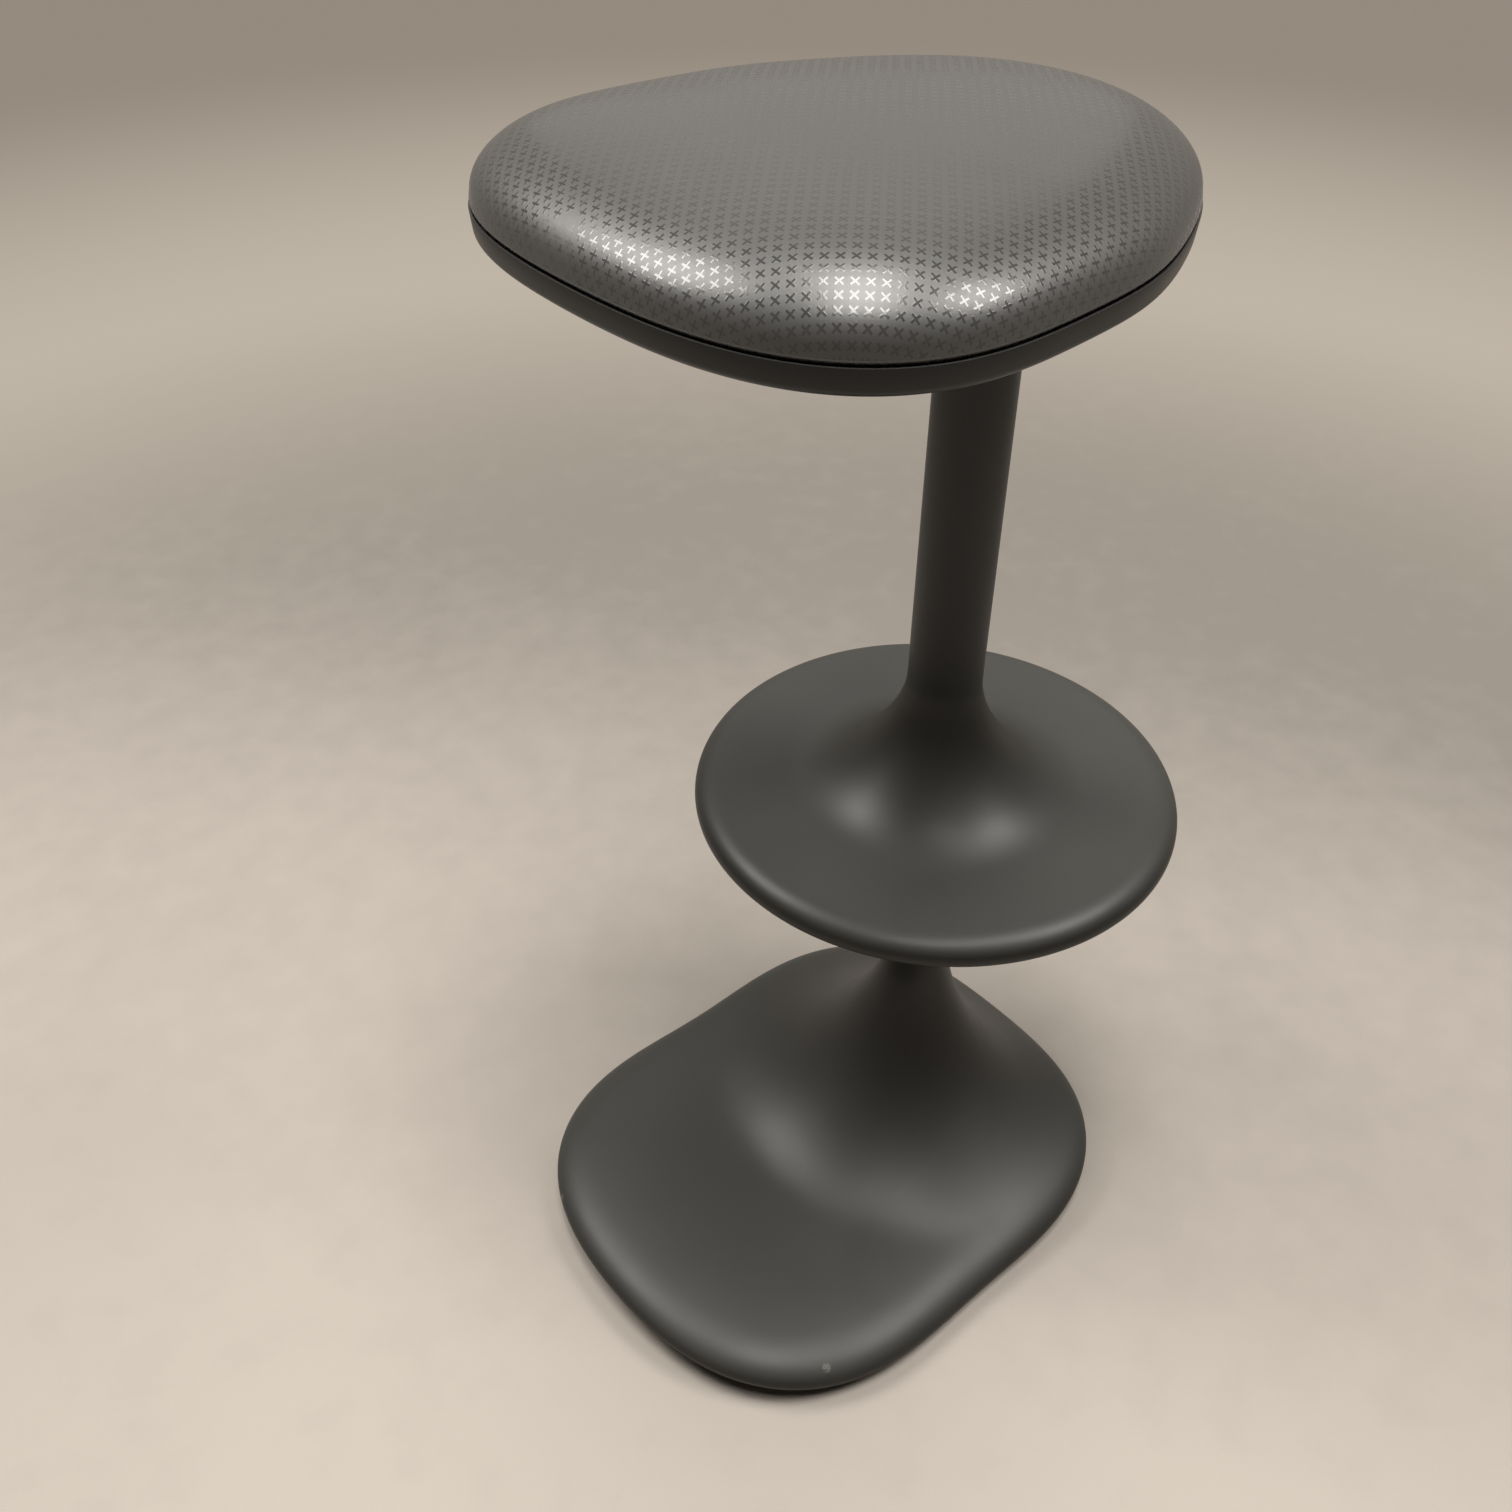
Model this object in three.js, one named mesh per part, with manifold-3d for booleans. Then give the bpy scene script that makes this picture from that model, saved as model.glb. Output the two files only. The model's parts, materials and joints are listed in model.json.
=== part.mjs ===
// A wobble stool in millimetres. +X points forward, the way the sitter faces, +Y to the sitter's
// left and +Z up. The origin is on the floor under the middle of the rubber sole, where the weight
// of the sitter comes down. Column and footrest stand ahead of that point, while seat and base are
// centred over it. The visible stool tips on a round rubber mount that is hidden under the base.
import * as THREE from "three";
import { mergeVertices, toCreasedNormals } from "three/addons/utils/BufferGeometryUtils.js";
import Module from "manifold-3d";

const wasm = await Module();
wasm.setup();

// Clearances that every fit uses
const seat_gap = 0.3; // between two pieces that bear on each other
const sleeve_gap = 0.4; // round the steel tube inside the mouldings
const thread_gap = 0.3; // round a screw in its own thread
const hole_gap = 0.5; // round a screw in a plain hole
const cut_overrun = 2; // how far a cutter runs past the face that it opens

// Column and steel tube
const column_forward = 91; // from the middle of the base to the column's axis
const column_diameter = 48.8;
const tube_diameter = 38;
const tube_wall = 2.5;

// Base, a rounded plate whose underside curves up towards its ends
const base_length = 410;
const base_width = 340;
const base_harmonic_shares = [0.057, -0.004, -0.055, -0.005];
const sole_drop = 6; // the rubber sole stands this far below the hard underside
const end_lift = 15.5; // rise of the underside from the middle to the front and rear ends
const side_lift = 2.5; // rise of the underside from the middle to the two sides
const rim_under_height = 5; // from the underside up to the widest line of the rim
const rim_under_width = 10;
const rim_crown_height = 18; // from the widest line up to the top of the plate
const rim_crown_width = 42;
const rim_solid_width = 14; // the shell is solid from the rim in to here
const base_wall = 4;
const base_rear_reach = 136; // how far the foot of the column spreads to the rear
const base_front_reach = 92; // and to the front, where the rim is near
const base_flare_height = 148;
const reach_power = 3; // how soon the reach grows away from straight ahead
const flare_power = 1.66; // of the superellipse that the flares follow
const crown_power = 2.2; // of the superellipse that the rim's top follows
const bottom_plate_thickness = 5;

// Cast ballast and the flange of the tube
const ballast_inset = 44; // from the rim of the base
const ballast_gap = 0.8; // under the shell
const flange_face_height = 34; // of the machined face that the flange stands on
const flange_diameter = 112;
const flange_thickness = 8;
const flange_collar_wall = 5;
const flange_collar_height = 22;
const flange_bolt_circle = 84;
const flange_bolt_count = 4;

// Rubber mount between the floor and the base
const sole_diameter = 112;
const sole_thickness = 2.5;
const foot_plate_diameter = 104;
const foot_plate_thickness = 2.5;
const rubber_diameter = 76;
const rubber_bore = 22;
const rubber_thickness = 4.5;
const interleaf_thickness = 1.5;
const mount_plate_diameter = 114;
const mount_plate_thickness = 3;
const mount_screw_circle = 96;
const mount_screw_count = 4;
const mount_side_gap = 4; // round the mount in the bottom plate and the ballast

// Footrest, a round plate carried by the column
const footrest_height = 346; // of its widest line above the floor
const footrest_diameter = 330;
const bead_radius = 7.5; // of the rounded rim
const footrest_dish = 3; // the standing face lies this far under the top of the rim
const footrest_wall = 4;
const footrest_flare_reach = 78;
const footrest_flare_height = 86;
const footrest_lip_width = 15; // of the solid rim
const footrest_plate_thickness = 3;
const footrest_hub_wall = 3;
const footrest_hub_height = 24;
const fairing_reach = 40; // of the concave fairing under the footrest
const fairing_height = 26;
const footrest_screw_circle = 124;
const footrest_screw_count = 4;

// Seat
const seam_height = 764; // of the pan's top edge above the floor
const seat_length = 349;
const seat_width = 322;
const seat_harmonic_shares = [0.16, 0.065, -0.002, 0.0255];
const pan_band_height = 9; // of the upright band that shows under the cushion
const pan_band_draft = 0.9; // how far the band leans in towards its foot
const pan_corner_radius = 4; // between the band and the underside
const pan_belly_inset = 40; // from the edge to where the pan reaches its full depth
const pan_wall = 4;
const pan_lip = 1.6;
const pan_lip_depth = 5;
const board_thickness = 10;
const board_inset = 7;
const board_drop = 3; // the board's underside lies this far under the pan's edge
const seat_plate_thickness = 6;
const seat_plate_width = 96;
const seat_plate_corner = 22;
const seat_plate_front_inset = 38.5; // from the front end of the seat to the plate's front edge
const seat_plate_rear_inset = 94.5; // and from the rear end of the seat to its rear edge
const seat_screw_margin = 20; // from the plate's edges to its screws
const pan_screw_inset = 46;
const pan_screw_count = 4;

// Cushion
const cushion_shoulder_width = 50;
const cushion_shoulder_height = 34;
const cushion_crown = 4; // rise of the top from its shoulder to its middle
const cushion_inset = 1; // of its widest line from the pan's edge
const cushion_tuck = 1.8; // how far its side draws in at the pan
const cushion_tuck_height = 5;
const cushion_lift = 0.6; // of the drawn-in line above the pan's edge
const cover_thickness = 1.4;
const hem_width = 18; // of the cover turned in under the board

// Fasteners
const m4 = { shank: 2, head: 4, head_height: 2.4 };
const m5 = { shank: 2.5, head: 4.8, head_height: 2.6 };
const m6 = { shank: 3, head: 5.4, head_height: 3.2 };
const m8 = { shank: 4, head: 7, head_height: 5.3 };
const head_recess = 0.5; // a sunk head lies this far under the face round it
const seat_screw_length = 10.5;
const pan_screw_length = 15;
const footrest_screw_length = 14;
const flange_bolt_length = 22;
const mount_screw_length = 11;
const bottom_screw_length = 13;
const bottom_screw_count = 6;
const bottom_screw_inset = 28;
const boss_diameter = 13;
const boss_skin = 1.5; // left between a boss and the outside of the wall that carries it
const tee_barrel_wall = 1.3;
const tee_barrel_length = 7;
const tee_flange_radius = 9.5;
const tee_flange_thickness = 1.3;
const head_chamfer_share = 0.8;

// Facet counts, and the places of rings and points as shares
const outline_facets = 40;
const round_facets = 30;
const tube_facets = 16;
const small_facets = 6;
const quarter = Math.PI / 2;
const crease_angle = Math.PI / 6;
const neck_shares = [1, 0.94, 0.82, 0.66, 0.5, 0.34];
const foot_shares = [0.22, 0.12, 0.04];
const inner_neck_shares = [0.04, 0.14, 0.34, 0.6, 0.86];
const plate_shares = [0.1, 0.22, 0.4, 0.65];
const inner_plate_shares = [0.6, 0.3, 0.12];
const crown_shares = [1, 0.6, 0.36, 0.16, 0.03];
const bead_shares = [0.68, 0.5, 0.3, 0.1, -0.1, -0.5];
const shoulder_shares = [0.155, 0.31, 0.47, 0.63, 0.8, 1];
const crown_ring_shares = [0.66, 0.33];
const halving_shares = [0, 1 / 2, 1];

// Finishes
const charcoal = { color: 0x2b2c2b, roughness: 0.62, metalness: 0 };
const black_plastic = { color: 0x1b1b1b, roughness: 0.6, metalness: 0 };
const cushion_cloth = { color: 0x333435, roughness: 0.45, metalness: 0 };
const pale_foam = { color: 0xd8cfae, roughness: 0.95, metalness: 0 };
const plywood = { color: 0xb58a58, roughness: 0.7, metalness: 0 };
const steel = { color: 0x6e7275, roughness: 0.4, metalness: 1 };
const zinc = { color: 0xa9abad, roughness: 0.35, metalness: 1 };
const iron = { color: 0x3a3a3c, roughness: 0.75, metalness: 0.6 };
const rubber = { color: 0x161616, roughness: 0.9, metalness: 0 };

const stool = new THREE.Group();

function place(name, geometry, finish, x = 0, y = 0, z = 0) {
  const material = new THREE.MeshStandardMaterial(finish);
  const mesh = new THREE.Mesh(toCreasedNormals(geometry, crease_angle), material);
  mesh.name = name;
  mesh.position.set(x, y, z);
  stool.add(mesh);
}

// A closed surface with only its points left, turned to face outwards
function outward(geometry) {
  geometry.deleteAttribute("normal");
  geometry.deleteAttribute("uv");
  const merged = mergeVertices(geometry);
  const points = merged.attributes.position;
  const faces = merged.index.array;
  const [a, b, c] = [new THREE.Vector3(), new THREE.Vector3(), new THREE.Vector3()];
  let volume = 0;
  for (let i = 0; i < faces.length; i += 3) {
    a.fromBufferAttribute(points, faces[i]);
    b.fromBufferAttribute(points, faces[i + 1]);
    c.fromBufferAttribute(points, faces[i + 2]);
    volume += a.dot(b.cross(c));
  }
  if (volume < 0) {
    for (let i = 0; i < faces.length; i += 3) {
      [faces[i + 1], faces[i + 2]] = [faces[i + 2], faces[i + 1]];
    }
  }
  return merged;
}

function solidOf(geometry) {
  const mesh = outward(geometry);
  return new wasm.Manifold(
    new wasm.Mesh({
      numProp: 3,
      vertProperties: mesh.attributes.position.array,
      triVerts: new Uint32Array(mesh.index.array),
    }),
  );
}

// A body with every addition joined to it and then every cutter taken out of it
function shaped(geometry, additions, cutters) {
  let solid = solidOf(geometry);
  for (const addition of additions) solid = solid.add(solidOf(addition));
  for (const cutter of cutters) solid = solid.subtract(solidOf(cutter));
  const mesh = solid.getMesh();
  return new THREE.BufferGeometry()
    .setAttribute("position", new THREE.BufferAttribute(mesh.vertProperties, 3))
    .setIndex(new THREE.BufferAttribute(mesh.triVerts, 1));
}

// A profile of [radius, height] pairs turned about the vertical axis
function turned(profile, facets = round_facets) {
  const points = profile.map(([radius, height]) => new THREE.Vector2(radius, height));
  const geometry = new THREE.LatheGeometry(points, facets);
  geometry.rotateX(quarter);
  return outward(geometry);
}

function washer(bore, radius, low, high, facets = round_facets) {
  return turned([[bore, low], [radius, low], [radius, high], [bore, high], [bore, low]], facets);
}

function disc(radius, low, high, facets = round_facets) {
  return turned([[0, low], [radius, low], [radius, high], [0, high]], facets);
}

// Round cutters or bosses, one at each place
function rods(places, radius, low, high) {
  return places.map(([x, y]) => {
    const rod = disc(radius, low, high, small_facets);
    rod.translate(x, y, 0);
    return rod;
  });
}

// Holes right through a wall, each with a sunk room for the head of its screw
function screwHoles(places, size, low, head_seat, high) {
  return [
    ...rods(places, size.shank + hole_gap, low - cut_overrun, high + cut_overrun),
    ...rods(places, size.head + hole_gap, low - cut_overrun, head_seat + seat_gap),
  ];
}

// Rings of equal length joined into one skin. With two end points the skin closes on them, and
// without them the last ring joins the first.
function loft(rings, first_point, last_point) {
  const count = rings[0].length;
  const points = rings.flat();
  const faces = [];
  const bands = last_point ? rings.length - 1 : rings.length;
  for (let band = 0; band < bands; band += 1) {
    const here = band * count;
    const there = ((band + 1) % rings.length) * count;
    for (let i = 0; i < count; i += 1) {
      const j = (i + 1) % count;
      faces.push(here + i, here + j, there + j, here + i, there + j, there + i);
    }
  }
  if (last_point) {
    const last_ring = points.length - count;
    points.push(first_point, last_point);
    for (let i = 0; i < count; i += 1) {
      const j = (i + 1) % count;
      faces.push(points.length - 2, j, i);
      faces.push(points.length - 1, last_ring + i, last_ring + j);
    }
  }
  const geometry = new THREE.BufferGeometry().setFromPoints(points);
  geometry.setIndex(faces);
  return outward(geometry);
}

// A rounded outline about the origin. The radius of a circle swings by shares of itself two,
// three, four and five times round, and the result is stretched to the length and width given.
function outline(length, width, harmonic_shares) {
  const raw = circle(1, 0).map((point, i) => {
    const turn = (i / outline_facets) * 2 * Math.PI;
    const swing = harmonic_shares.map((share, k) => share * Math.cos((k + 2) * turn));
    return point.multiplyScalar(swing.reduce((sum, value) => sum + value, 1));
  });
  const front = Math.max(...raw.map((point) => point.x));
  const rear = Math.min(...raw.map((point) => point.x));
  const side = Math.max(...raw.map((point) => point.y));
  const stretch = new THREE.Vector2(length / (front - rear), width / 2 / side);
  const middle = new THREE.Vector2((front + rear) / 2, 0);
  return raw.map((point) => point.sub(middle).multiply(stretch));
}

function circle(radius, middle) {
  return Array.from({ length: outline_facets }, (_, i) => {
    const turn = (i / outline_facets) * 2 * Math.PI;
    return new THREE.Vector2(middle + radius * Math.cos(turn), radius * Math.sin(turn));
  });
}

// An outline drawn in, square to itself
function inset(points, depth) {
  return points.map((point, i) => {
    const before = points[(i + points.length - 1) % points.length];
    const after = points[(i + 1) % points.length];
    const way = after.clone().sub(before).normalize();
    return new THREE.Vector2(point.x - way.y * depth, point.y + way.x * depth);
  });
}

function blend(from, to, share) {
  return from.map((point, i) => point.clone().lerp(to[i], share));
}

// An outline lifted to a height, which is a number or a function of x and y
function ring(points, height) {
  const lift = typeof height === "function" ? height : () => height;
  return points.map((point) => new THREE.Vector3(point.x, point.y, lift(point.x, point.y)));
}

// A quarter of a superellipse, from 0 at the rim to 1 at its full width
function rounded(share, power) {
  return (1 - Math.max(1 - share, 0) ** power) ** (1 / power);
}

// A concave flare, 1 at the column and 0 at its full reach
function flare(radius, reach) {
  const left = Math.min(Math.max(1 - (radius - column_diameter / 2) / reach, 0), 1);
  return 1 - (1 - left ** flare_power) ** (1 / flare_power);
}

// The radius at which a flare stands the given share of its height
function flareRadius(height_share, reach) {
  const left = (1 - (1 - height_share) ** flare_power) ** (1 / flare_power);
  return column_diameter / 2 + (1 - left) * reach;
}

// Places spread evenly round a circle, the first one half a step on from straight ahead
function around(count, diameter, middle) {
  return Array.from({ length: count }, (_, i) => {
    const turn = ((i + 1 / 2) / count) * 2 * Math.PI;
    return [middle + (diameter / 2) * Math.cos(turn), (diameter / 2) * Math.sin(turn)];
  });
}

// Places spread along an outline in the same way
function along(points, count) {
  return Array.from({ length: count }, (_, i) => {
    const point = points[Math.round(((i + 1 / 2) / count) * points.length)];
    return [point.x, point.y];
  });
}

// A screw whose head sits under z = 0 and whose shank points up
function screw(size, length) {
  return turned([
    [0, -size.head_height],
    [size.head * head_chamfer_share, -size.head_height],
    [size.head, -size.head_height / 2],
    [size.head, 0],
    [size.shank, 0],
    [size.shank, length - size.shank / 2],
    [size.shank / 2, length],
    [0, length],
  ], small_facets);
}

// Radii that several pieces share
const column_radius = column_diameter / 2;
const tube_radius = tube_diameter / 2;
const sleeve_radius = tube_radius + sleeve_gap;
const weld_radius = tube_radius + seat_gap;
const boss_radius = boss_diameter / 2;

// The rubber mount, from the floor up
const foot_plate_low = sole_thickness + seat_gap;
const lower_rubber_low = foot_plate_low + foot_plate_thickness + seat_gap;
const interleaf_low = lower_rubber_low + rubber_thickness + seat_gap;
const upper_rubber_low = interleaf_low + interleaf_thickness + seat_gap;
const mount_plate_low = upper_rubber_low + rubber_thickness + seat_gap;
const mount_plate_high = mount_plate_low + mount_plate_thickness;
const mount_room_radius = mount_plate_diameter / 2 + mount_side_gap;
const mount_places = around(mount_screw_count, mount_screw_circle, 0);
const mount_head_seat = mount_plate_low - seat_gap;

function rubberMount() {
  const rubber_radius = rubber_diameter / 2;
  const bore_radius = rubber_bore / 2;
  const rubber_ring = washer(bore_radius, rubber_radius, 0, rubber_thickness);
  const interleaf = washer(bore_radius, rubber_radius, 0, interleaf_thickness);
  place("floor_sole", disc(sole_diameter / 2, 0, sole_thickness), rubber);
  const foot_plate = disc(foot_plate_diameter / 2, 0, foot_plate_thickness);
  place("foot_plate", foot_plate, steel, 0, 0, foot_plate_low);
  place("lower_rubber", rubber_ring, rubber, 0, 0, lower_rubber_low);
  place("interleaf_plate", interleaf, steel, 0, 0, interleaf_low);
  place("upper_rubber", rubber_ring.clone(), rubber, 0, 0, upper_rubber_low);

  const mount_plate = disc(mount_plate_diameter / 2, mount_plate_low, mount_plate_high);
  const hole_high = mount_plate_high + cut_overrun;
  const holes = rods(mount_places, m6.shank + hole_gap, mount_head_seat, hole_high);
  place("mount_plate", shaped(mount_plate, [], holes), steel);
  mount_places.forEach(([x, y], i) => {
    place(`mount_screw_${i + 1}`, screw(m6, mount_screw_length), zinc, x, y, mount_head_seat);
  });
}

// Base: its outline and the heights of its surfaces
const base_outline = outline(base_length, base_width, base_harmonic_shares);
const ballast_edge = inset(base_outline, ballast_inset);
const bottom_places = along(inset(base_outline, bottom_screw_inset), bottom_screw_count);
const bottom_head_sink = head_recess + m5.head_height;
const neck_top = footrest_height - bead_radius - fairing_height - seat_gap;

function underside(x, y) {
  const lengthwise = x / (base_length / 2);
  const crosswise = y / (base_width / 2);
  return sole_drop + end_lift * lengthwise ** 2 + side_lift * crosswise ** 2;
}

// How far the foot of the column spreads towards a point, which is least straight ahead
function baseReach(x, y) {
  const ahead = (1 + Math.cos(Math.atan2(y, x - column_forward))) / 2;
  return base_rear_reach - (base_rear_reach - base_front_reach) * ahead ** reach_power;
}

// The top of the base, the given depth in from its rim. Sunk gives the same surface drawn in and
// down, for the inside of the shell.
function baseTop(x, y, depth, sunk = 0) {
  const crown = rim_crown_height * rounded(depth / rim_crown_width, crown_power);
  const from_column = Math.hypot(x - column_forward, y) + sunk;
  const foot = base_flare_height * flare(from_column, baseReach(x, y));
  return underside(x, y) + rim_under_height + crown + foot - sunk;
}

// A ring round the foot of the column where its flare stands the given share of its height
function footRing(height_share, sunk = 0) {
  return circle(column_radius, column_forward).map((point) => {
    const radius = flareRadius(height_share, baseReach(point.x, point.y)) - sunk;
    const middle = new THREE.Vector2(column_forward, 0);
    return point.sub(middle).setLength(radius).add(middle);
  });
}

// Rings of the sunk surface from the edge of the plate in to the foot of the column and up it
function sunkRings(edge, sunk) {
  const height = (x, y) => baseTop(x, y, rim_crown_width, sunk);
  const foot = footRing(neck_shares.at(-1), sunk);
  const upper_shares = inner_neck_shares.filter((share) => share >= neck_shares.at(-1));
  return [
    ring(edge, height),
    ...inner_plate_shares.map((share) => ring(blend(foot, edge, share), height)),
    ...upper_shares.map((share) => ring(footRing(share, sunk), height)),
  ];
}

function baseShell() {
  const height = (x, y) => baseTop(x, y, rim_crown_width);
  const plate_edge = inset(base_outline, rim_crown_width);
  const foot = footRing(neck_shares.at(-1));
  const lip = inset(base_outline, rim_solid_width);
  const sleeve = circle(sleeve_radius, column_forward);
  const sleeve_low = (x, y) => underside(x, y) + rim_under_height + rim_crown_height + base_flare_height;
  const rings = [
    ring(circle(column_radius, column_forward), neck_top),
    ...neck_shares.map((share) => ring(footRing(share), height)),
    ...plate_shares.map((share) => ring(blend(foot, plate_edge, share), height)),
    ...crown_shares.map((share) => {
      const depth = share * rim_crown_width;
      return ring(inset(base_outline, depth), (x, y) => baseTop(x, y, depth));
    }),
    ...halving_shares.map((share) => {
      const depth = rim_under_width * (1 - Math.cos(share * quarter));
      const rise = rim_under_height * (1 - Math.sin(share * quarter));
      return ring(inset(base_outline, depth), (x, y) => underside(x, y) + rise);
    }),
    ring(lip, underside),
    ring(lip, (x, y) => baseTop(x, y, rim_solid_width, base_wall)),
    ...sunkRings(plate_edge, base_wall),
    ring(sleeve, sleeve_low),
    ring(sleeve, neck_top),
  ];

  const bosses = [];
  const threads = [];
  for (const [x, y] of bottom_places) {
    const [reach_x, reach_y] = [Math.sign(x) * boss_radius, Math.sign(y) * boss_radius];
    const low = underside(x + reach_x, y + reach_y) + bottom_plate_thickness + seat_gap;
    const high = baseTop(x, y, bottom_screw_inset - boss_radius) - boss_skin;
    const thread_high = underside(x, y) + bottom_head_sink + bottom_screw_length + seat_gap;
    bosses.push(...rods([[x, y]], boss_radius, low, high));
    threads.push(...rods([[x, y]], m5.shank + thread_gap, low - cut_overrun, thread_high));
  }
  place("base_shell", shaped(loft(rings), bosses, threads), charcoal);
}

// Rings from the room round the mount out to the edge of the ballast
function floorRings(height) {
  const room = circle(mount_room_radius, 0);
  return halving_shares.map((share) => ring(blend(room, ballast_edge, share), height));
}

function bottomPlate() {
  const edge = inset(base_outline, rim_solid_width + seat_gap);
  const top = (x, y) => underside(x, y) + bottom_plate_thickness;
  const rings = [
    ...floorRings(underside),
    ring(edge, underside),
    ring(edge, top),
    ...floorRings(top).reverse(),
  ];
  const holes = bottom_places.flatMap(([x, y]) => {
    const face = underside(x, y);
    return screwHoles([[x, y]], m5, face, face + bottom_head_sink, face + bottom_plate_thickness);
  });
  place("bottom_plate", shaped(loft(rings), [], holes), black_plastic);
  bottom_places.forEach(([x, y], i) => {
    const head_seat = underside(x, y) + bottom_head_sink;
    place(`bottom_screw_${i + 1}`, screw(m5, bottom_screw_length), zinc, x, y, head_seat);
  });
}

const flange_low = flange_face_height + seat_gap;
const flange_head_seat = flange_low + flange_thickness + seat_gap;
const flange_places = around(flange_bolt_count, flange_bolt_circle, column_forward);

function ballast() {
  const low = (x, y) => underside(x, y) + bottom_plate_thickness + seat_gap;
  const rings = [...floorRings(low), ...sunkRings(ballast_edge, base_wall + ballast_gap)];
  const low_point = new THREE.Vector3(0, 0, low(0, 0));
  const high_point = new THREE.Vector3(column_forward, 0, neck_top);
  const body = loft(rings, low_point, high_point);

  const over_face = disc(base_length, flange_face_height, neck_top + cut_overrun);
  const mount_room = disc(mount_room_radius, 0, mount_plate_high + seat_gap);
  const mount_thread_high = mount_head_seat + mount_screw_length + seat_gap;
  const bolt_thread_low = flange_head_seat - flange_bolt_length - seat_gap;
  const cutters = [
    over_face,
    mount_room,
    ...rods(mount_places, m6.shank + thread_gap, 0, mount_thread_high),
    ...rods(flange_places, m8.shank + thread_gap, bolt_thread_low, flange_low),
  ];
  place("ballast", shaped(body, [], cutters), iron);
}

function tubeFlange() {
  const collar_radius = weld_radius + flange_collar_wall;
  const flange_high = flange_low + flange_thickness;
  const body = turned([
    [weld_radius, flange_low],
    [flange_diameter / 2, flange_low],
    [flange_diameter / 2, flange_high],
    [collar_radius, flange_high],
    [collar_radius, flange_high + flange_collar_height],
    [weld_radius, flange_high + flange_collar_height],
    [weld_radius, flange_low],
  ]);
  const bolt_circle = around(flange_bolt_count, flange_bolt_circle, 0);
  const holes = rods(bolt_circle, m8.shank + hole_gap, flange_face_height, flange_high + cut_overrun);
  place("tube_flange", shaped(body, [], holes), steel, column_forward);
  flange_places.forEach(([x, y], i) => {
    const bolt = screw(m8, flange_bolt_length);
    bolt.rotateX(Math.PI);
    place(`flange_bolt_${i + 1}`, bolt, zinc, x, y, flange_head_seat);
  });
}

// Seat heights, from the board down
const board_low = seam_height - board_drop;
const board_high = board_low + board_thickness;
const seat_plate_low = board_low - seat_gap - seat_plate_thickness;
const pan_floor = seat_plate_low - seat_gap;
const pan_low = pan_floor - pan_wall;
const pan_head_seat = pan_low + head_recess + m4.head_height;
const seat_head_seat = seat_plate_low + head_recess + m6.head_height;

function coreTube() {
  const top = seat_plate_low - seat_gap;
  const tube = washer(tube_radius - tube_wall, tube_radius, flange_low, top, tube_facets);
  place("core_tube", tube, steel, column_forward);
}

// Footrest heights, from its standing face down
const face_height = footrest_height + bead_radius - footrest_dish;
const face_low = face_height - footrest_wall;
const footrest_plate_high = face_low - seat_gap;
const footrest_plate_low = footrest_plate_high - footrest_plate_thickness;
const footrest_cover_high = footrest_plate_low - seat_gap;
const footrest_low = footrest_height - bead_radius;
const footrest_head_seat = footrest_low + head_recess + m5.head_height;
const lip_radius = footrest_diameter / 2 - footrest_lip_width;
const footrest_places = around(footrest_screw_count, footrest_screw_circle, 0);

// A point of the flare on the footrest at the given share of its height
function footrestFlare(share, sunk = 0) {
  const radius = flareRadius(share, footrest_flare_reach) - sunk;
  return [radius, face_height + share * footrest_flare_height - sunk];
}

function columnMoulding() {
  const column_high = pan_low - seat_gap;
  const bead_middle = footrest_diameter / 2 - bead_radius;
  const profile = [
    [sleeve_radius, column_high],
    [column_radius, column_high],
    ...[...neck_shares, ...foot_shares, 0].map((share) => footrestFlare(share)),
    [bead_middle - bead_radius, face_height],
    ...bead_shares.map((share) => [
      bead_middle + bead_radius * Math.cos(share * Math.PI),
      footrest_height + bead_radius * Math.sin(share * Math.PI),
    ]),
    [lip_radius, footrest_low],
    [lip_radius, face_low],
    ...[0, ...inner_neck_shares].map((share) => footrestFlare(share, footrest_wall)),
    [sleeve_radius, face_height + footrest_flare_height],
    [sleeve_radius, column_high],
  ];
  const boss_edge = footrest_screw_circle / 2 + boss_radius;
  const boss_low = footrest_plate_high + seat_gap;
  const flare_over_boss = footrest_flare_height * flare(boss_edge, footrest_flare_reach);
  const boss_high = face_height + flare_over_boss - boss_skin;
  const thread_high = footrest_head_seat + footrest_screw_length + seat_gap;
  const bosses = rods(footrest_places, boss_radius, boss_low, boss_high);
  const threads = rods(footrest_places, m5.shank + thread_gap, boss_low - cut_overrun, thread_high);
  place("column_moulding", shaped(turned(profile), bosses, threads), charcoal, column_forward);
}

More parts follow.
